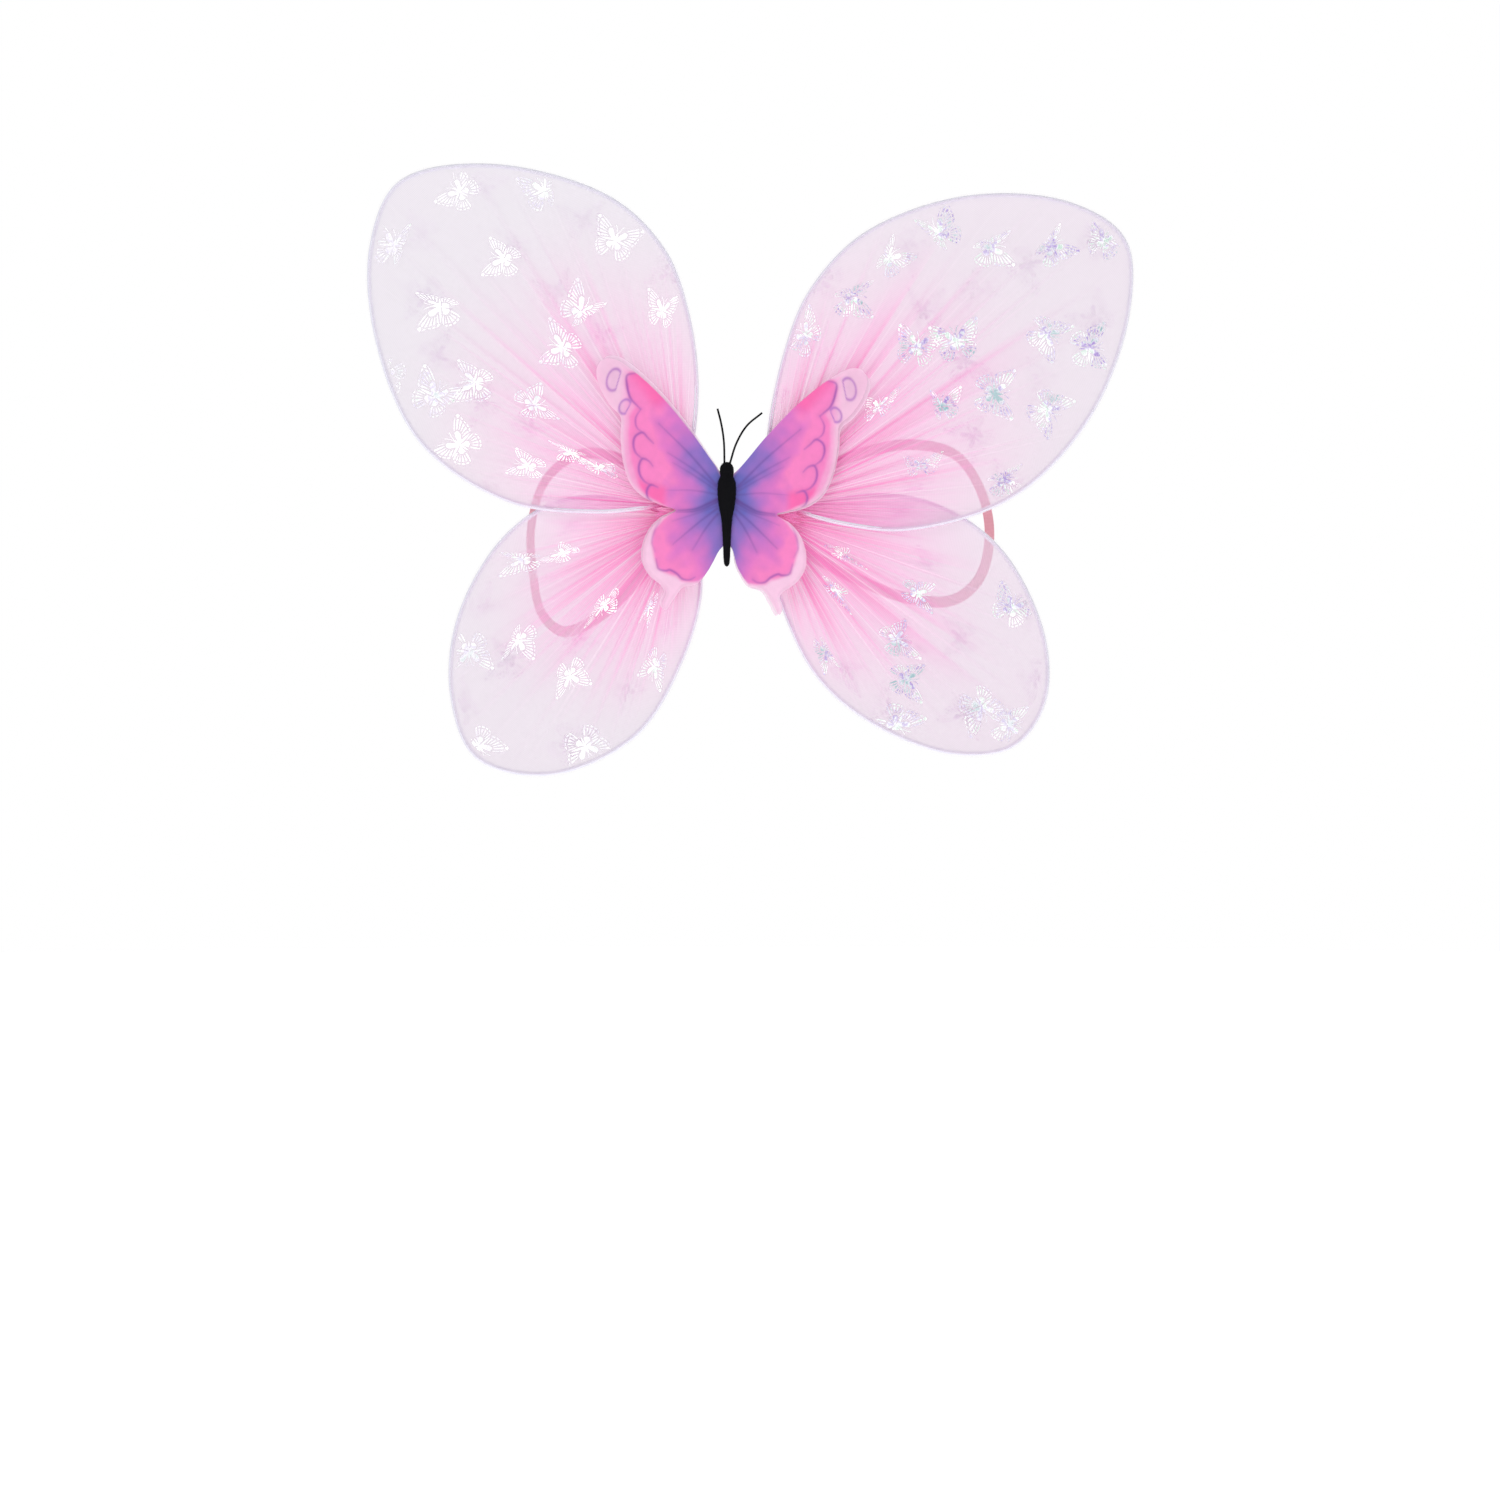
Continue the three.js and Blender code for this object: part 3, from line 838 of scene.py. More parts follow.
def makeCover(fan, layer):
    lobe = fan.lobe
    columns, rows = sleeve["columns"], sleeve["rows"]
    s = np.linspace(0, fan.length, columns)
    rimDistance = np.linalg.norm(fan.onRim(s, fan.rim) - fan.apex, axis=-1)
    nearest = 1.5 / rimDistance
    t = np.linspace(0, 1, rows)[:, None] ** 1.5
    g = nearest + (1 - nearest) * t
    sGrid = np.broadcast_to(s, g.shape)
    points = fan.place(sGrid, g)
    # Round the wire, then out flat as the seam allowance.
    rim, normal = fan.onRim(s, fan.rim), fan.onRim(s, fan.normal)
    radius = sleeve["rimRadius"]
    around = []
    for angle in np.radians([22, 45, 68, 84]):
        around.append((radius * math.sin(angle), fan.facing * radius * math.cos(angle)))
    around.append((radius + sleeve["seam"], fan.facing * 0.08))
    wrap = []
    for outwards, y in around:
        edge = rim + normal * outwards
        wrap.append(np.stack([lobe["side"] * (wing["rootX"] + edge[:, 0]),
                              np.full(columns, lobe["y"] + y), edge[:, 1]], axis=-1))
    points = np.concatenate([points, np.array(wrap)])
    g = np.vstack([g, np.ones((len(wrap), columns))])
    sGrid = np.broadcast_to(s, g.shape)

    reach = g * rimDistance                       # millimetres from the root
    fold = fan.folds(sGrid, g)
    line = np.clip(fan.sumOf("lines", sGrid, g), 0, 1)
    width = np.clip(1 / np.maximum(g, 0.05), 1, 9) ** 0.9
    band = np.clip(fan.sumOf("bands", sGrid, g, 0.7), 0, 1.3)
    dart = np.clip(fan.sumOf("darts", sGrid, g), 0, 1)
    bunched = (width - 1) * (0.32 + 0.40 * fold + 0.5 * band)
    layers = 1 + 0.55 * (bunched + 0.85 * band + 1.3 * line + 1.7 * dart)
    cover = 1 - (1 - sleeve["cover"] - 0.4 * lobe["tint"]) ** np.clip(layers, 0.9, 12)
    cover[rows:] *= np.linspace(0.35, 0.05, len(wrap))[:, None]
    middle = np.sin(math.pi * sGrid / fan.length) ** 0.7
    pink = 1 - smoothstep(-0.05, 0.55 + 0.35 * middle + 0.25 * band, reach / (0.9 * lobeReach(lobe)))
    pink = np.clip(0.64 * pink ** 1.1 + pink * (0.22 * band + 0.20 * dart) + lobe["tint"], 0, 1)
    pink = pink + (0.17 * band + 0.20 * dart) * (1 - smoothstep(0.55, 1.0, g))
    pink = pink + (1 - pink) * (1 - smoothstep(10, 26, reach)) * 0.7
    # A painted highlight: near-white on the sharp lines and on the tops of the highest folds.
    creaseHighlight = line * 0.8 * (1 - smoothstep(0.6, 0.95, g)) + 0.25 * np.clip(fold - 0.8, 0, 1)
    creaseHighlight = np.clip(creaseHighlight, 0, 0.85)

    flip = (fan.facing * lobe["side"] * (1 if isUpper(lobe) else -1)) > 0
    name = f"{lobe['name']}_tulle_{layer}"
    piece = newPiece(name, points.reshape(-1, 3), gridFaces(len(g), columns, flip), tulle)
    giveValues(piece, "cover", cover)
    giveValues(piece, "pink", pink)
    giveValues(piece, "creaseHighlight", creaseHighlight)
    giveCloth(piece, sGrid, reach)
    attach(piece, "lobe_" + lobe["name"])
    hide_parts(f"{lobe['name']}_cover_{layer}")


def lobeReach(lobe):
    return float(np.max(np.linalg.norm(np.array(lobe["outline"], float), axis=1)))


# Each lobe's front and rear layers, each gathered on its own fan.
fans = {}
for number, lobe in enumerate(lobes):
    for layer, facing in (("front", -1), ("rear", 1)):
        fan = Fan(lobe, facing, 31 + 2 * number + (facing > 0))
        fans[lobe["name"], layer] = fan
        makeCover(fan, layer)
print("tulle gathered")

# Foil butterflies printed on the tulle.
motif = {
    "span": 26.0,
    "lift": 0.12,
    "spacing": 0.075,        # between the motif's inner points, so that it follows the folds
}
# The right half of one butterfly, as shares of the span: [out, up] round each wing.
foreWing = [[0.02, 0.08], [0.10, 0.205], [0.22, 0.315], [0.35, 0.392], [0.455, 0.425], [0.50, 0.40],
            [0.487, 0.325], [0.455, 0.24], [0.435, 0.155], [0.405, 0.065], [0.35, 0.008], [0.23, -0.012],
            [0.11, 0.0], [0.02, 0.02]]
hindWing = [[0.02, 0.0], [0.12, -0.03], [0.24, -0.032], [0.335, -0.055], [0.372, -0.12], [0.35, -0.20],
            [0.305, -0.275], [0.235, -0.335], [0.165, -0.352], [0.115, -0.29], [0.07, -0.19], [0.03, -0.07]]
# Bare lines between the foil cells: points and half width.
bareLines = [
    ([[0.19, 0.255], [0.43, 0.405]], 0.016), ([[0.215, 0.215], [0.48, 0.345]], 0.016),
    ([[0.215, 0.175], [0.46, 0.25]], 0.016), ([[0.205, 0.135], [0.435, 0.16]], 0.016),
    ([[0.18, 0.095], [0.405, 0.075]], 0.016), ([[0.14, 0.055], [0.33, 0.012]], 0.016),
    ([[0.16, 0.255], [0.205, 0.24], [0.22, 0.20], [0.215, 0.155], [0.19, 0.11], [0.11, 0.045]], 0.017),
    ([[0.40, 0.375], [0.45, 0.335], [0.425, 0.24], [0.40, 0.16], [0.37, 0.09], [0.325, 0.045]], 0.016),
    ([[0.16, -0.06], [0.345, -0.085]], 0.016), ([[0.165, -0.09], [0.36, -0.155]], 0.016),
    ([[0.155, -0.12], [0.33, -0.235]], 0.016), ([[0.135, -0.145], [0.27, -0.31]], 0.016),
    ([[0.10, -0.155], [0.195, -0.345]], 0.016),
    ([[0.16, -0.045], [0.172, -0.085], [0.155, -0.125], [0.12, -0.155], [0.075, -0.16]], 0.017),
    ([[0.325, -0.085], [0.33, -0.135], [0.305, -0.20], [0.26, -0.26], [0.205, -0.30], [0.15, -0.30]], 0.016),
]
spine = [[-0.007, 0.17], [-0.022, 0.14], [-0.020, 0.0], [-0.015, -0.12], [0.0, -0.19], [0.015, -0.12],
         [0.020, 0.0], [0.022, 0.14], [0.007, 0.17]]
feelers = [([[0.006, 0.16], [0.035, 0.25], [0.085, 0.33]], 0.006)]
# [outward, up, turn in degrees] from the lobe's root, on the front layer.
foilPlaces = {
    "upper_left": [
        [155, 139, 60], [120, 168, -25], [76, 168, 10], [39, 142, 35], [57, 105, 75], [159, 73, -80],
        [14, 105, 20], [66, 86, -35], [112, 68, -20], [120, 35, 20], [97, 133, -40], [130, 108, -35],
        [0, 60, 0], [61, 31, -20], [47, 23, 60], [84, 24, 5], [134, 60, 100], [82, 56, 130], [30, 60, 40]],
    "upper_right": [
        [65, 133, -10], [92, 146, 70], [118, 139, -35], [150, 139, 0], [178, 142, 30], [22, 92, 60],
        [45, 113, -60], [101, 89, 60], [80, 86, 30], [148, 94, -60], [170, 86, -20], [148, 54, -55],
        [93, 55, 70], [82, 24, 80], [125, 17, 10], [60, 55, 50], [120, 62, -30]],
    "lower_left": [
        [87, -25, 20], [66, -22, 50], [45, -49, -45], [116, -73, -60], [63, -86, -50], [111, -123, -75],
        [55, -123, -50], [18, -81, 15], [90, -67, -40], [21, -49, 10]],
    "lower_right": [
        [80, -43, 15], [40, -22, 40], [69, -67, 60], [37, -41, 30], [130, -51, 80], [32, -73, 10],
        [74, -88, 45], [69, -112, 20], [114, -102, -15], [128, -112, 40]],
}


def offsetPair(line, half):
    line = np.array(line, float)
    tangent = tangentsOf(line)
    normal = np.c_[-tangent[:, 1], tangent[:, 0]] * half
    return line + normal, line - normal


# One flat butterfly in triangles, cut along the bare lines.
def foilMotif():
    right = {"fore": spacedAlong(curveThrough(ringOf(foreWing), 8), 60)[:-1],
             "hind": spacedAlong(curveThrough(ringOf(hindWing), 8), 48)[:-1]}
    points, edges = [], []

    def addLine(line, closed):
        start = len(points)
        points.extend(list(p) for p in line)
        edges.extend((start + i, start + i + 1) for i in range(len(line) - 1))
        if closed:
            edges.append((len(points) - 1, start))

    addLine(right["fore"], True)
    addLine(right["hind"], True)
    for line, half in bareLines + feelers:
        for edge in offsetPair(line, half):
            addLine(edge, False)
    step = motif["spacing"]
    points.extend([x, z] for x in np.arange(0.05, 0.5, step) for z in np.arange(-0.33, 0.42, step))
    made = delaunay_2d_cdt([Vector(p) for p in points], edges, [], 0, 1e-6)
    places = np.array([list(v) for v in made[0]])
    faces = np.array([list(f) for f in made[2]])
    middle = places[faces].mean(1)
    fore = isInside(middle, right["fore"])
    apart = distanceTo(ringOf(right["fore"]), middle)[0] > 0.012
    kept = fore | (isInside(middle, right["hind"]) & apart)
    for line, half in bareLines:
        kept &= distanceTo(np.array(line), middle)[0] > half
    kept |= distanceTo(np.array(feelers[0][0]), middle)[0] < feelers[0][1]
    faces = faces[kept]
    mirrored = places * [-1, 1]
    body = np.array(spine)
    bodyFaces = [[0, i, i + 1] for i in range(1, len(body) - 1)]
    count = len(places)
    allFaces = np.vstack([faces, faces[:, ::-1] + count, np.array(bodyFaces) + 2 * count])
    places = np.vstack([places, mirrored, body])
    used, allFaces = np.unique(allFaces, return_inverse=True)
    return places[used], allFaces.reshape(-1, 3)


def makeFoilPrint(lobe, layer, places, random):
    fan = fans[lobe["name"], layer]
    shape, shapeFaces = foilShape
    flats, faces, tints, wears = [], [], [], []
    for out, up, turn in places:
        centre = np.array([out, up], float)
        reach = np.linalg.norm(centre - fan.apex)
        radial = (centre - fan.apex) / reach
        sideways = fan.turning * np.array([-radial[1], radial[0]])
        angle = math.radians(turn)
        tint = random.uniform(0.0, 0.5) if lobe["side"] < 0 else random.uniform(0.5, 1.0)
        wear = random.uniform(0.0, 0.5) + 0.1 * (lobe["side"] > 0) + 0.15 * (layer == "rear")
        tint *= 0.3 if layer == "rear" else 1
        size = motif["span"] * random.uniform(0.9, 1.1)
        # The share of its width that the left half shows, as when a wing is half closed.
        near = random.choice([1.0, 0.8, 0.45])
        x, z = shape.T
        z = np.where(x < 0, z - 0.35 * (1 - near) * x, z) * size
        x = np.where(x < 0, near * x, x) * size
        # Cloth gathered towards the root carries its print with it, narrower there.
        squeeze = 0.26 + 0.74 * smoothstep(30, 140, reach)
        across = (x * math.cos(angle) - z * math.sin(angle)) * squeeze
        onward = x * math.sin(angle) + z * math.cos(angle)
        faces.append(shapeFaces + len(shape) * len(flats))
        flats.append(centre + across[:, None] * sideways + onward[:, None] * radial)
        tints.append(np.full(len(shape), tint))
        wears.append(np.full(len(shape), wear))
    s, g, kept = fan.find(np.concatenate(flats))
    faces = np.vstack(faces)
    used, faces = np.unique(faces[kept[faces].all(1)], return_inverse=True)
    points = fan.place(s[used], g[used], motif["lift"])
    name = f"{lobe['name']}_foil_{layer}"
    piece = newPiece(name, points, faces.reshape(-1, 3).tolist(), foil, smooth=False)
    giveValues(piece, "tint", np.concatenate(tints)[used])
    giveValues(piece, "wear", np.concatenate(wears)[used])
    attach(piece, "lobe_" + lobe["name"])


# Places spread over a lobe for the layer behind, at least apart millimetres from each other.
def scattered(lobe, count, apart, random):
    fan = fans[lobe["name"], "rear"]
    chosen = []
    for _ in range(4000):
        s = random.uniform(0.04, 0.96) * fan.length
        g = random.uniform(0.3, 0.97) ** 0.6
        flat = fan.apex + (fan.onRim(np.array([s]), fan.rim)[0] - fan.apex) * g
        clear = np.linalg.norm(flat - fan.apex) > 50
        if clear and all(math.hypot(flat[0] - c[0], flat[1] - c[1]) > apart for c in chosen):
            chosen.append([flat[0], flat[1], random.uniform(0, 360)])
        if len(chosen) == count:
            break
    return chosen


# The sleeve's raw end, turned out over the windings at each root.
tuft = {
    "inner": 1.5,
    "outer": 17.0,
    "spread": 78.0,          # degrees to each side of straight outward
    "ruffles": 26,
    "rearY": -14.35,
    "depth": 1.1,
    "columns": 300,
    "rows": 9,
}


def makeTuft(side, name):
    random = np.random.default_rng(90 + side)
    turn = np.linspace(-1, 1, tuft["columns"])
    angle = np.radians(tuft["spread"]) * turn
    phase = tuft["ruffles"] * math.pi * turn + 1.5 * np.sin(7 * turn + side)
    ragged = 1 + 0.10 * np.sin(phase * 0.5) + 0.06 * np.interp(
        turn, np.linspace(-1, 1, 60), random.uniform(-1, 1, 60))
    share = np.linspace(0, 1, tuft["rows"])[:, None]
    radius = tuft["inner"] + (tuft["outer"] * ragged * (1 - 0.25 * turn ** 2) - tuft["inner"]) * share
    y = tuft["rearY"] - tuft["depth"] * (0.5 + 0.5 * np.sin(phase)) * (0.25 + 0.75 * share)
    points = np.stack([side * (wing["rootX"] + radius * np.cos(angle)), y, radius * np.sin(angle)], axis=-1)
    shape = points.shape[:2]
    piece = newPiece(f"tulle_tuft_{name}", points.reshape(-1, 3), gridFaces(*shape, side < 0), tulle)
    giveValues(piece, "cover", np.broadcast_to(0.96 - 0.30 * share ** 3, shape))
    giveValues(piece, "pink", np.broadcast_to(1.0 - 0.2 * share, shape))
    # A painted highlight on the crests of the ruffles.
    giveValues(piece, "creaseHighlight", np.broadcast_to(0.06 * (np.sin(phase) > 0.93), shape))
    giveCloth(piece, np.broadcast_to(turn * 40, shape), radius)
    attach(piece, f"side_{name}")


for side, name in sides:
    makeTuft(side, name)

foilShape = foilMotif()
foilRandom = np.random.default_rng(7)
for lobe in lobes:
    makeFoilPrint(lobe, "front", foilPlaces[lobe["name"]], foilRandom)
    count = 14 if isUpper(lobe) else 9
    makeFoilPrint(lobe, "rear", scattered(lobe, count, 30, foilRandom), foilRandom)
print("foil printed")


# Thread bindings.
binding = {
    "thread": 0.5,           # diameter
    "gatherRadius": 2.05,
    "gatherLength": 10.0,
    "gatherInset": 3.0,
    "foldX": 12.0,
    "foldY": -9.6,
    "sideRadius": 4.2,
    "sideHeight": 17.0,
    "centreHalf": 7.3,
    "centreHeight": 18.0,
}


def superEllipse(halfWidth, halfDepth, power, count):
    angles = np.linspace(0, 2 * math.pi, count, endpoint=False)
    across, deep = (np.sign(v) * np.abs(v) ** (2 / power) for v in (np.cos(angles), np.sin(angles)))
    return np.c_[halfWidth * across, halfDepth * deep]


# Thread wound on a core along +Z, with its turns close together and slightly uneven.
def woundMeshes(halfWidth, halfDepth, power, length, seed):
    random = np.random.default_rng(seed)
    pitch = binding["thread"] * 0.96
    turns = int((length - pitch) / pitch)
    perTurn = 28
    ring = superEllipse(1, 1, power, perTurn)
    inset = binding["thread"] / 2
    total = turns * perTurn
    k = np.arange(total)
    wobble = 1 + 0.012 * np.interp(k / perTurn, np.arange(turns + 1), random.uniform(-1, 1, turns + 1))
    edge = np.clip(np.minimum(k, total - k) / perTurn / 2.5, 0, 1) ** 0.5 * 0.12 + 0.88
    around = ring[k % perTurn] * [halfWidth - inset, halfDepth - inset] * (wobble * edge)[:, None]
    height = (k / total - 0.5) * (length - binding["thread"])
    thread = tubeMesh(np.c_[around[:, 0], around[:, 1], height], binding["thread"] / 2, 6, sewingThread)
    core = superEllipse(halfWidth - inset * 1.5, halfDepth - inset * 1.5, power, 24)
    levels = [(-0.49, 0.0), (-0.49, 0.78), (-0.45, 0.9), (0.45, 0.9), (0.49, 0.78), (0.49, 0.0)]
    points, columns = [], len(core)
    for share, scale in levels:
        points += [[x * scale, y * scale, share * length] for x, y in core]
    filler = newMesh("filler", points, gridFaces(len(levels), columns, closed=True), sewingThread)
    return [thread, filler]


def placeMeshes(meshes, turnY, shift):
    c, s = math.cos(turnY), math.sin(turnY)
    for mesh in meshes:
        places = np.zeros(len(mesh.vertices) * 3, np.float32)
        mesh.vertices.foreach_get("co", places)
        x, y, z = places.reshape(-1, 3).T
        moved = np.c_[x * c + z * s + shift[0] * mm, y + shift[1] * mm, z * c - x * s + shift[2] * mm]
        mesh.vertices.foreach_set("co", moved.astype(np.float32).ravel())
        mesh.update()


def makeBindings():
    for number, lobe in enumerate(lobes):
        angle = math.radians(lobe["elevation"])
        radius, length = binding["gatherRadius"], binding["gatherLength"]
        meshes = woundMeshes(radius, radius, 2, length, 50 + number)
        middle = length / 2 - binding["gatherInset"]
        x = lobe["side"] * (wing["rootX"] + middle * math.cos(angle))
        shift = (x, lobe["y"], middle * math.sin(angle))
        placeMeshes(meshes, lobe["side"] * (math.pi / 2 - angle), shift)
        piece = pieceFrom(f"{lobe['name']}_winding", *meshes)
        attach(piece, "lobe_" + lobe["name"])
        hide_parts(f"{lobe['name']}_gather_binding")
    for side, name in sides:
        radius = binding["sideRadius"]
        meshes = woundMeshes(radius, radius, 2, binding["sideHeight"], 60 + side)
        placeMeshes(meshes, 0, (side * binding["foldX"], binding["foldY"], 0))
        piece = pieceFrom(f"side_winding_{name}", *meshes)
        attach(piece, f"side_{name}")
        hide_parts(f"side_binding_{name}")
    meshes = woundMeshes(binding["centreHalf"], binding["sideRadius"], 4, binding["centreHeight"], 70)
    placeMeshes(meshes, 0, (0, binding["foldY"], 0))
    piece = pieceFrom("centre_winding", *meshes)
    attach(piece, "centre")
    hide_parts("centre_binding")


makeBindings()
print("bindings wound")

# Back pad and stiffener.
pad = {
    "width": 47.0,
    "height": 34.0,
    "thickness": 2.0,
    "corner": 15.0,
    "stitches": 44,
    "stitchInset": 2.6,
    "stitchSink": 0.28,      # from the felt's face to the middle of a stitch
    "stitchLength": 1.9,
    "stitchThickness": 0.5,
}


def roundedRectangle(width, height, radius, perCorner=12):
    points = []
    for cx, cy, start in ((1, 1, 0), (-1, 1, 90), (-1, -1, 180), (1, -1, 270)):
        for angle in np.radians(np.linspace(start, start + 90, perCorner)):
            points.append([cx * (width / 2 - radius) + radius * math.cos(angle),
                           cy * (height / 2 - radius) + radius * math.sin(angle)])
    return np.array(points)


def padRing(inset):
    return roundedRectangle(pad["width"] - 2 * inset, pad["height"] - 2 * inset, pad["corner"] - inset)


def makePad():
    half = pad["thickness"] / 2
    # Inset from the outline and share of the half thickness: a rounded edge, then a dip at the stitching.
    profile = [(0.0, 0.0), (0.15, 0.55), (0.6, 0.9), (1.4, 1.0), (2.2, 0.86), (2.6, 0.8), (3.0, 0.86),
               (4.2, 1.0), (9.0, 1.0), (13.0, 1.0)]
    front = [onPlane(padRing(inset), -half + level * half) for inset, level in profile]
    rear = [onPlane(padRing(inset), -half - level * half) for inset, level in profile[1:]]
    ordered = front[::-1] + rear
    columns = len(ordered[0])
    points = np.vstack([*ordered, [[0, 0, 0]], [[0, -2 * half, 0]]])
    faces = gridFaces(len(ordered), columns, flip=True, closed=True)
    top, bottom = len(points) - 2, len(points) - 1
    last = (len(ordered) - 1) * columns
    for c in range(columns):
        faces.append([top, c, (c + 1) % columns])
        faces.append([bottom, last + (c + 1) % columns, last + c])
    piece = newPiece("pad_felt", points, faces, pinkFelt)
    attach(piece, "centre")
    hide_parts("back_pad")

    values = {"Stitches": pad["stitches"], "Length": pad["stitchLength"] * mm,
              "Thickness": pad["stitchThickness"] * mm, "Material": sewingThread}
    meshes = []
    for y in (-pad["stitchSink"], -pad["thickness"] + pad["stitchSink"]):
        path = pathMesh(onPlane(padRing(pad["stitchInset"]), y), closed=True)
        meshes.append(grown(stitchTree, path, values))
    stitches = pieceFrom("pad_stitching", *meshes)
    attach(stitches, "centre")


makePad()
for node, material in (("centre_plate", stiffenerSheet), ("applique_base", pinkFelt)):
    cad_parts[node].data.materials.clear()
    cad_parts[node].data.materials.append(material)
print("pad sewn")

# Elastic loops.
strap = {
    "y": -2.8,
    "width": 6.0,
    "thickness": 1.0,
    "edgeX": 24.5,
    "lead": 4.0,
    "halfPitch": 10.0,
    "flare": 1.5,
    "tuck": 9.0,             # length of each end between the pad and the stiffener
    "ribs": 7,
    "steps": 260,
}
strapRoutes = {
    "left": [[36, 0, 17], [58, 13, 30], [80, 25, 33], [98, 34, 20], [106, 38, -4], [105, 36, -30],
             [100, 32, -52], [88, 25, -62], [68, 15, -54], [48, 5, -36], [35, 0, -20]],
    "right": [[38, 1, 17], [66, 16, 31], [98, 32, 39], [124, 43, 34], [138, 46, 14], [142, 43, -10],
              [136, 37, -33], [121, 30, -45], [96, 22, -44], [66, 12, -33], [39, 1, -19]],
}


# Normals that turn as little as possible along a path, starting across the tangent's smallest part.
def steadyNormals(path):
    tangent = tangentsOf(path)
    axis = np.eye(3)[int(np.argmin(np.abs(tangent[0])))]
    side = np.cross(tangent[0], axis)
    normals = [np.cross(tangent[0], side / np.linalg.norm(side))]
    for before, after in zip(tangent[:-1], tangent[1:]):
        turn = np.cross(before, after)
        size = np.linalg.norm(turn)
        normal = normals[-1]
        if size > 1e-9:
            k = turn / size
            angle = math.atan2(size, before @ after)
            normal = (normal * math.cos(angle) + np.cross(k, normal) * math.sin(angle)
                      + k * (k @ normal) * (1 - math.cos(angle)))
        normals.append(normal)
    normals = np.array(normals)
    return normals, np.cross(tangent, normals)


def makeStrap(side, name):
    end, lead = strap["halfPitch"], strap["edgeX"] + strap["lead"]
    flare = end + strap["flare"]
    course = [[strap["edgeX"], strap["y"], end], [lead, strap["y"], flare], *strapRoutes[name],
              [lead, strap["y"], -flare], [strap["edgeX"], strap["y"], -end]]
    path = curveThrough([[side * x, y, z] for x, y, z in course], 60)
    path = spacedAlong(path, strap["steps"])
    normal, binormal = steadyNormals(path)
    inner = side * (strap["edgeX"] - strap["tuck"])
    for place, z, at in ((len(path), -end, -1), (0, end, 0)):
        reach = np.linspace(inner, side * strap["edgeX"], 8)[:-1]
        if at:
            reach = reach[::-1]
        tail = np.c_[reach, np.full(len(reach), strap["y"]), np.full(len(reach), z)]
        path = np.insert(path, place, tail, axis=0)
        normal = np.insert(normal, place, np.repeat(normal[at][None], len(tail), 0), axis=0)
        binormal = np.insert(binormal, place, np.repeat(binormal[at][None], len(tail), 0), axis=0)
    # Section: round ribs across the face, thin edges.
    across = np.linspace(-0.5, 0.5, 6 * strap["ribs"] + 1)
    shift = math.pi / 2 * (strap["ribs"] % 2 == 0)
    rib = 0.80 + 0.20 * np.abs(np.sin(across * strap["ribs"] * math.pi + shift))
    edge = np.sqrt(np.clip(1 - (2 * np.abs(across)) ** 8, 0.02, 1))
    half = strap["thickness"] / 2 * rib * edge
    thin = np.r_[half, -half[::-1]]
    wide = np.r_[across, across[::-1]] * strap["width"]
    points = path[:, None] + normal[:, None] * thin[:, None] + binormal[:, None] * wide[:, None]
    count = len(thin)
    faces = gridFaces(len(path), count, flip=True, closed=True)
    faces.append(list(range(count)))
    faces.append(list(range((len(path) - 1) * count, len(path) * count))[::-1])
    piece = newPiece(f"elastic_loop_{name}", points.reshape(-1, 3), faces, braidedElastic)
    lengths = lengthsAlong(path)
    giveCloth(piece, np.repeat(lengths, count), np.tile(wide, len(path)))
    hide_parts(f"strap_{name}")
    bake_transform(piece)


for side, name in sides:
    makeStrap(side, name)
print("elastic loops made")

# Printed butterfly wings.
applique = {
    "printY": -17.0,
    "organzaY": -16.15,
    "printTurn": 2.3,        # degrees clockwise
    "organzaTurn": 1.6,      # more for the under-layer
    "centreZ": 5.0,
    "cell": 0.62,            # spacing of the printed mesh's points
    "lift": 3.2,             # how far the tips stand out
}
# Half of the outline, tip first, then the notch, the lower wing and its tail: [outward, up].
printOutline = [[8, 25], [20, 40.5], [37, 59], [52, 71.5], [62, 77], [68, 76.5], [71, 71], [69, 62],
                [63, 52.5], [57.5, 47], [57, 36], [55, 22.5], [50.5, 11.5], [43, 5], [32, 1], [26.5, -0.8],
                [34, -5.5], [39, -11], [42.6, -20], [42.5, -29], [38.5, -36], [32, -41], [29.8, -44],
                [31.5, -50], [30, -53.5], [25.5, -47], [21, -41], [14, -39], [8.5, -32]]
innerTop = [0, 15.5]                                   # where the halves meet, under the body
innerFoot = [[6.2, -27.5], [3.4, -20.5], [0, -16.5]]
inks = {
    "blue": (0.13, 0.125, 0.52),
    "violet": (0.29, 0.145, 0.55),
    "purple": (0.48, 0.155, 0.57),
    "orchid": (0.75, 0.175, 0.57),
    "pink": (0.95, 0.22, 0.56),
    "hot": (0.96, 0.12, 0.42),
    "rose": (0.93, 0.36, 0.65),
    "pale": (0.96, 0.60, 0.81),
    "vein": (0.11, 0.05, 0.32),
    "mark": (0.36, 0.08, 0.42),
    "ring": (0.44, 0.14, 0.56),
}
# The inked parts of a half, beyond which the cloth is left pale: [outward, up].
upperInk = [[0, 12], [8, 28], [20, 42], [37, 62], [49, 71], [53, 70.3], [55, 66], [54.6, 62.5], [52.4, 56.6],
            [49.6, 52.4], [52.6, 47], [52.8, 40], [51.8, 30], [49.6, 21], [46.8, 13], [43, 7], [38, 4.2],
            [32, 1], [26.5, -2], [0, -2]]
lowerInk = [[0, 8], [26.5, 0.5], [33, -5.5], [37.6, -11.5], [38.9, -18.3], [37.2, -25], [35.2, -31.6],
            [30.6, -33.4], [24.9, -35], [21.9, -37.5], [17.9, -38], [13, -38], [8, -34], [0, -16]]
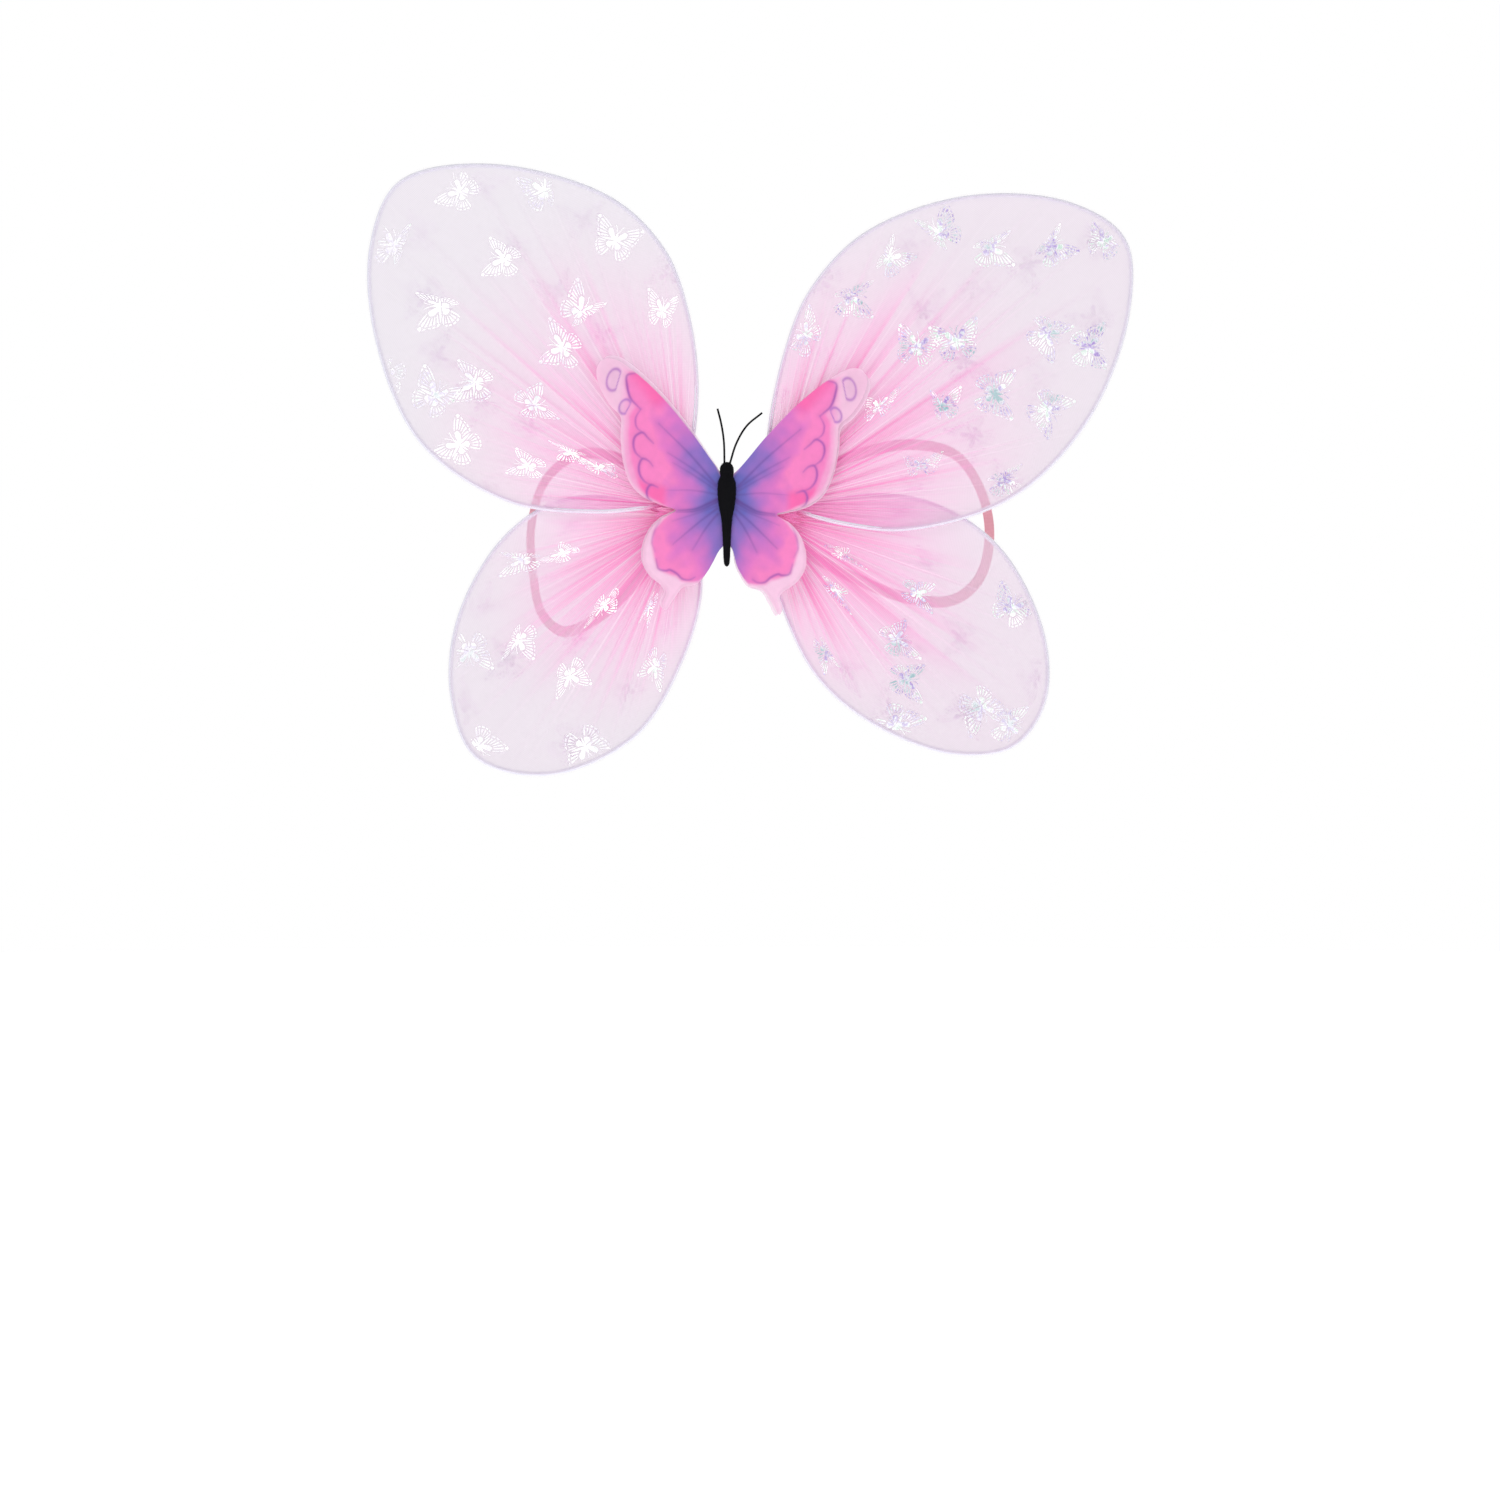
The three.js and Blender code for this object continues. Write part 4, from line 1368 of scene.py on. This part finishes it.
# Lines drawn on the print: points [outward, up], half width in millimetres, darkness.
petalLines = [
    ([[50.5, 70.3], [54.9, 68.7], [54.7, 63.5], [52.6, 56.9], [49.1, 53.3], [47.1, 51.5]], 0.45, 0.85),
    ([[47.1, 51.5], [49.5, 46.6], [48.8, 41.9], [45.6, 39.2]], 0.35, 0.6),
    ([[39.7, 33.9], [42.6, 36.5], [45.6, 39.2], [49.2, 37.2], [50.2, 33.3], [48.8, 28.6],
      [45.1, 25.4]], 0.42, 0.8),
    ([[39.5, 21.9], [42, 24.6], [45.1, 25.4], [46.7, 22.1], [46.2, 17.4], [43.6, 13.7],
      [40.3, 11.9]], 0.42, 0.8),
    ([[36.5, 10.9], [40.3, 11.9], [42.1, 9], [41.5, 5.2], [39.5, 3.4]], 0.42, 0.85),
    ([[34.4, -5.9], [37, -11.5], [38.4, -18.3], [36.5, -23]], 0.4, 0.4),
    ([[35.9, -26.8], [34.3, -31.9], [30.4, -32.7], [28.6, -32.2], [24.7, -34], [21.8, -36.6], [17.9, -37],
      [15.1, -35.5]], 0.4, 0.75),
]
veinLines = [
    ([[6, 13.5], [20, 28.5], [37.3, 44.3]], 0.4, 0.55),
    ([[6, 12.5], [18, 21], [32, 29.3]], 0.4, 0.5),
    ([[5.5, 10.5], [17, 17.5], [29, 24.1]], 0.35, 0.4),
    ([[5.5, 8.5], [18, 10], [32.3, 9.4]], 0.35, 0.35),
    ([[5.2, 5.8], [10.5, 3], [16, 0.4], [25.4, -0.8]], 0.5, 0.9),
    ([[5.2, 4.4], [11, 1.2], [17, -1], [26, -1.6]], 0.4, 0.7),
    ([[5, 1], [14, -6.5], [27.5, -18.8]], 0.4, 0.55),
    ([[4.6, -1.8], [10, -9], [17, -21.2]], 0.4, 0.55),
    ([[5, 2.4], [17, -2.5], [28, -6.5]], 0.35, 0.4),
]
# Rings on the pale tips: centre, half width, half height, turn in degrees.
tipRings = [((61.6, 66.2), 3.7, 5.9, 14), ((55.3, 52.4), 2.9, 4.0, 24)]


def turnedHalf(side, degrees, points):
    turn = -math.radians(side * degrees)
    x, z = np.asarray(points, float).T
    z = z - applique["centreZ"]
    c, s = math.cos(turn), math.sin(turn)
    return np.c_[x * c - z * s, x * s + z * c + applique["centreZ"]]


def blendInks(stops, value):
    places = [p for p, _ in stops]
    colours = np.array([inks[name] for _, name in stops])
    return np.stack([np.interp(value, places, colours[:, k]) for k in range(3)], axis=1)


def softNoise(points, scale, seed):
    random = np.random.default_rng(seed)
    total = np.zeros(len(points))
    for k in range(7):
        angle, phase = random.uniform(0, 2 * math.pi, 2)
        wave = scale * random.uniform(0.6, 1.7)
        total += np.sin((points[:, 0] * math.cos(angle) + points[:, 1] * math.sin(angle)) * wave + phase)
    return total / 7


# The printed colours at points [outward, up] of the drawn outline, and how opaque the cloth is there.
def printInk(points, outline):
    out, up = points.T
    reach = np.hypot(out, up - 4)
    angle = np.degrees(np.arctan2(up - 4, np.maximum(out, 0.1)))
    cloud = softNoise(points, 0.22, 3) + 0.7 * softNoise(points, 0.55, 8)
    upper = up > np.interp(out, [0, 5, 16, 26, 80], [5, 5, 0.5, -0.8, -0.8])
    # How far from the middle the ink turns to orchid, by the angle above or below it.
    turnAbove = np.interp(angle, [0, 10, 20, 30, 40, 48, 55, 62], [28, 27, 26, 29, 43, 52, 57, 62])
    turnBelow = np.interp(-angle, [0, 12, 25, 40, 55, 70, 80], [28, 27, 32, 32, 33, 38, 47])
    turnPoint = np.where(upper, turnAbove, turnBelow)
    stage = reach / turnPoint + 0.20 * cloud
    stops = [(0.25, "blue"), (0.48, "violet"), (0.70, "purple"), (1.0, "orchid"), (1.22, "pink")]
    colour = blendInks(stops, stage)
    # Hotter ink near the tip and in the last petal above the notch.
    hot = smoothstep(58, 66, reach) * smoothstep(48, 54, angle) * upper
    hot = np.maximum(hot, smoothstep(30, 35, reach) * (1 - smoothstep(8, 16, angle)) * upper)
    colour += (np.array(inks["hot"]) - colour) * (0.85 * np.clip(hot, 0, 1))[:, None]
    ground = np.array(inks["rose"]) + (np.array(inks["pale"]) - inks["rose"]) * np.maximum(
        smoothstep(52, 60, out) * upper, ~upper)[:, None]
    inked = [np.array(shape, float) for shape in (upperInk, lowerInk)]
    within = np.where(upper, *(isInside(points, shape) for shape in inked))
    beyond = np.where(upper, *(distanceTo(ringOf(shape), points)[0] for shape in inked))
    beyond = np.where(within, -beyond, beyond) + 0.7 * cloud
    wash = smoothstep(-1.2, 1.6, beyond)
    colour += (ground - colour) * wash[:, None]
    edge, _ = distanceTo(ringOf(outline), points)
    rim = (1 - smoothstep(0.6, 2.4, edge)) * wash
    colour += (np.array(inks["pale"]) - colour) * (0.8 * rim)[:, None]
    for lines, ink in ((veinLines, "vein"), (petalLines, "mark")):
        for line, half, dark in lines:
            gap, share = distanceTo(curveThrough(line, 6), points)
            taper = 0.45 + 0.55 * np.sin(np.clip(share, 0.02, 0.98) * math.pi)
            if ink == "vein":
                taper = 1.15 - 0.75 * share
            core = np.exp(-(gap / (half * (0.5 + taper))) ** 2) * dark * taper
            glow = np.exp(-(gap / (half * 4)) ** 2) * dark * 0.16
            amount = np.clip(core + glow, 0, 1)
            colour += (np.array(inks[ink]) - colour) * amount[:, None]
    for (cx, cz), halfWidth, halfHeight, turn in tipRings:
        c, s = math.cos(math.radians(turn)), math.sin(math.radians(turn))
        x, z = (out - cx) * c + (up - cz) * s, (up - cz) * c - (out - cx) * s
        ring = np.maximum(np.hypot(x / halfWidth, z / halfHeight), -x / (0.62 * halfWidth))
        amount = np.exp(-((ring - 1) * halfWidth / 0.55) ** 2) * 0.8 + 0.10 * (ring < 1)
        colour += (np.array(inks["ring"]) - colour) * np.clip(amount, 0, 1)[:, None]
    cover = 1 - 0.2 * np.maximum(rim, wash * smoothstep(54, 62, out))
    return np.clip(colour, 0, 1), cover


# A half wing's mesh: its smooth outline filled with evenly spaced points.
def filledOutline(outline, cell):
    low, high = outline.min(0), outline.max(0)
    xs = np.arange(low[0], high[0], cell)
    zs = np.arange(low[1], high[1], cell * 0.87)
    grid = np.array([[x + (row % 2) * cell / 2, z] for row, z in enumerate(zs) for x in xs])
    edge, _ = distanceTo(ringOf(outline), grid)
    grid = grid[isInside(grid, outline) & (edge > 0.45 * cell)]
    points = np.vstack([outline, grid])
    ring = [(i, (i + 1) % len(outline)) for i in range(len(outline))]
    made = delaunay_2d_cdt([Vector(p) for p in points], ring, [], 1, 1e-6)
    return np.array([list(v) for v in made[0]]), [list(f) for f in made[2]]


def halfOutline(cell):
    smooth = curveThrough([innerTop, *printOutline, *innerFoot], 10)
    smooth = spacedAlong(smooth, int(lengthsAlong(smooth)[-1] / cell))
    low, high = innerFoot[-1][1], innerTop[1]
    up = np.linspace(low, high, int((high - low) / cell))[1:-1]
    return np.vstack([smooth, np.c_[np.zeros(len(up)), up]])


def makeHalfWing(side, name, layer):
    printed = layer == "print"
    cell = applique["cell"] if printed else 1.4
    outline = halfOutline(cell)
    flat, faces = filledOutline(outline, cell)
    degrees = applique["printTurn"] + (0 if printed else applique["organzaTurn"])
    # The turn grows from the straight inner edge, so that the two halves still meet on the centre line.
    turned = turnedHalf(side, degrees, flat)
    hold = smoothstep(1.5, 7, flat[:, 0])[:, None]
    placed = flat + (turned - flat) * hold
    out, up = placed.T
    rise = (np.clip(out - 8, 0, 80) / 62) ** 1.6
    lift = applique["lift"] * rise * (1.0 if printed else 0.72)
    lift += 0.35 * np.sin(up / 8 + side) * rise + 0.18 * np.sin(out / 5 + 2 * up / 9) * rise
    y = applique["printY" if printed else "organzaY"] - lift
    points = np.c_[side * out, y, up]
    if side > 0:
        faces = [f[::-1] for f in faces]
    material = printedSatin if printed else organza
    piece = newPiece(f"butterfly_{layer}_{name}", points, faces, material)
    if flatFacing(piece) > 0:
        piece.data.flip_normals()
    if printed:
        colours, cover = printInk(flat, outline)
        giveColours(piece, "ink", colours)
        giveValues(piece, "cover", cover)
    else:
        edge, _ = distanceTo(ringOf(outline), flat)
        giveValues(piece, "cover", 0.78 + 0.22 * (1 - smoothstep(0.2, 1.2, edge)))
    giveCloth(piece, flat[:, 0], flat[:, 1])
    replaced = [f"{layer}_wing_{name}"]
    if printed and side < 0:
        replaced.append("print_centre")
    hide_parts(*replaced)
    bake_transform(piece)


def flatFacing(piece):
    return sum(p.normal.y * p.area for p in piece.data.polygons)


for side, name in sides:
    makeHalfWing(side, name, "organza")
    makeHalfWing(side, name, "print")
print("butterfly printed")

# Butterfly body and antennae.
bodyShape = {
    "rearY": -17.6,
    "depth": 5.0,
    # Radius and height, from the tail to the head.
    "profile": [[0.2, -29.3], [1.1, -28.5], [1.6, -26], [1.9, -20], [2.2, -13], [2.9, -4], [4.2, 3],
                [4.8, 10], [4.5, 15], [3.4, 18.2], [3.7, 20.6], [3.2, 23.4], [1.9, 25.0], [0.2, 25.6]],
    "flock": {"Density": 7.0e6, "Length": 0.55 * mm, "Thickness": 0.035 * mm, "Seed": 4},
    "antennaRadius": 0.55,
    "antennaY": -18.85,
    "antennae": {
        "left": [[-1.2, 0, 24.6], [-1.5, -1, 36], [-2.8, -2.5, 45], [-4.8, -4.5, 53]],
        "right": [[1.6, 0, 24.6], [5, -2, 35], [10.5, -5, 44], [18.5, -8, 50.5]],
    },
}


def makeButterflyBody():
    profile = spacedAlong(curveThrough(bodyShape["profile"], 12), 90)
    angles = np.linspace(-math.pi / 2, math.pi / 2, 25)
    widest = max(r for r, _ in bodyShape["profile"])
    ring = np.r_[np.sin(angles), np.sin(angles[::-1])[1:-1] * 0.97]
    bulge = np.r_[np.cos(angles), np.zeros(len(angles) - 2)]
    points = []
    for radius, z in profile:
        grain = 1 + 0.01 * math.sin(z * 2.3)
        y = bodyShape["rearY"] - bulge * radius * bodyShape["depth"] / widest
        points.append(np.c_[radius * grain * ring, y, np.full(len(ring), z)])
    count = len(ring)
    faces = gridFaces(len(profile), count, closed=True)
    faces.append(list(range(count))[::-1])
    faces.append(list(range((len(profile) - 1) * count, len(profile) * count)))
    core = newMesh("bodyCore", np.vstack(points), faces, blackFlock)
    coated = grown(flockTree, core, {**bodyShape["flock"], "Material": blackFlock})
    piece = pieceFrom("flocked_body", coated)
    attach(piece, "centre")
    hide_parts("butterfly_body")
    for name, course in bodyShape["antennae"].items():
        path = spacedAlong(curveThrough(course, 16), 40) + [0, bodyShape["antennaY"], 0]
        feeler = pieceFrom(f"feeler_{name}", tubeMesh(path, bodyShape["antennaRadius"], 8, blackFlock))
        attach(feeler, "centre")
        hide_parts(f"antenna_{name}")


makeButterflyBody()
print("butterfly body flocked")
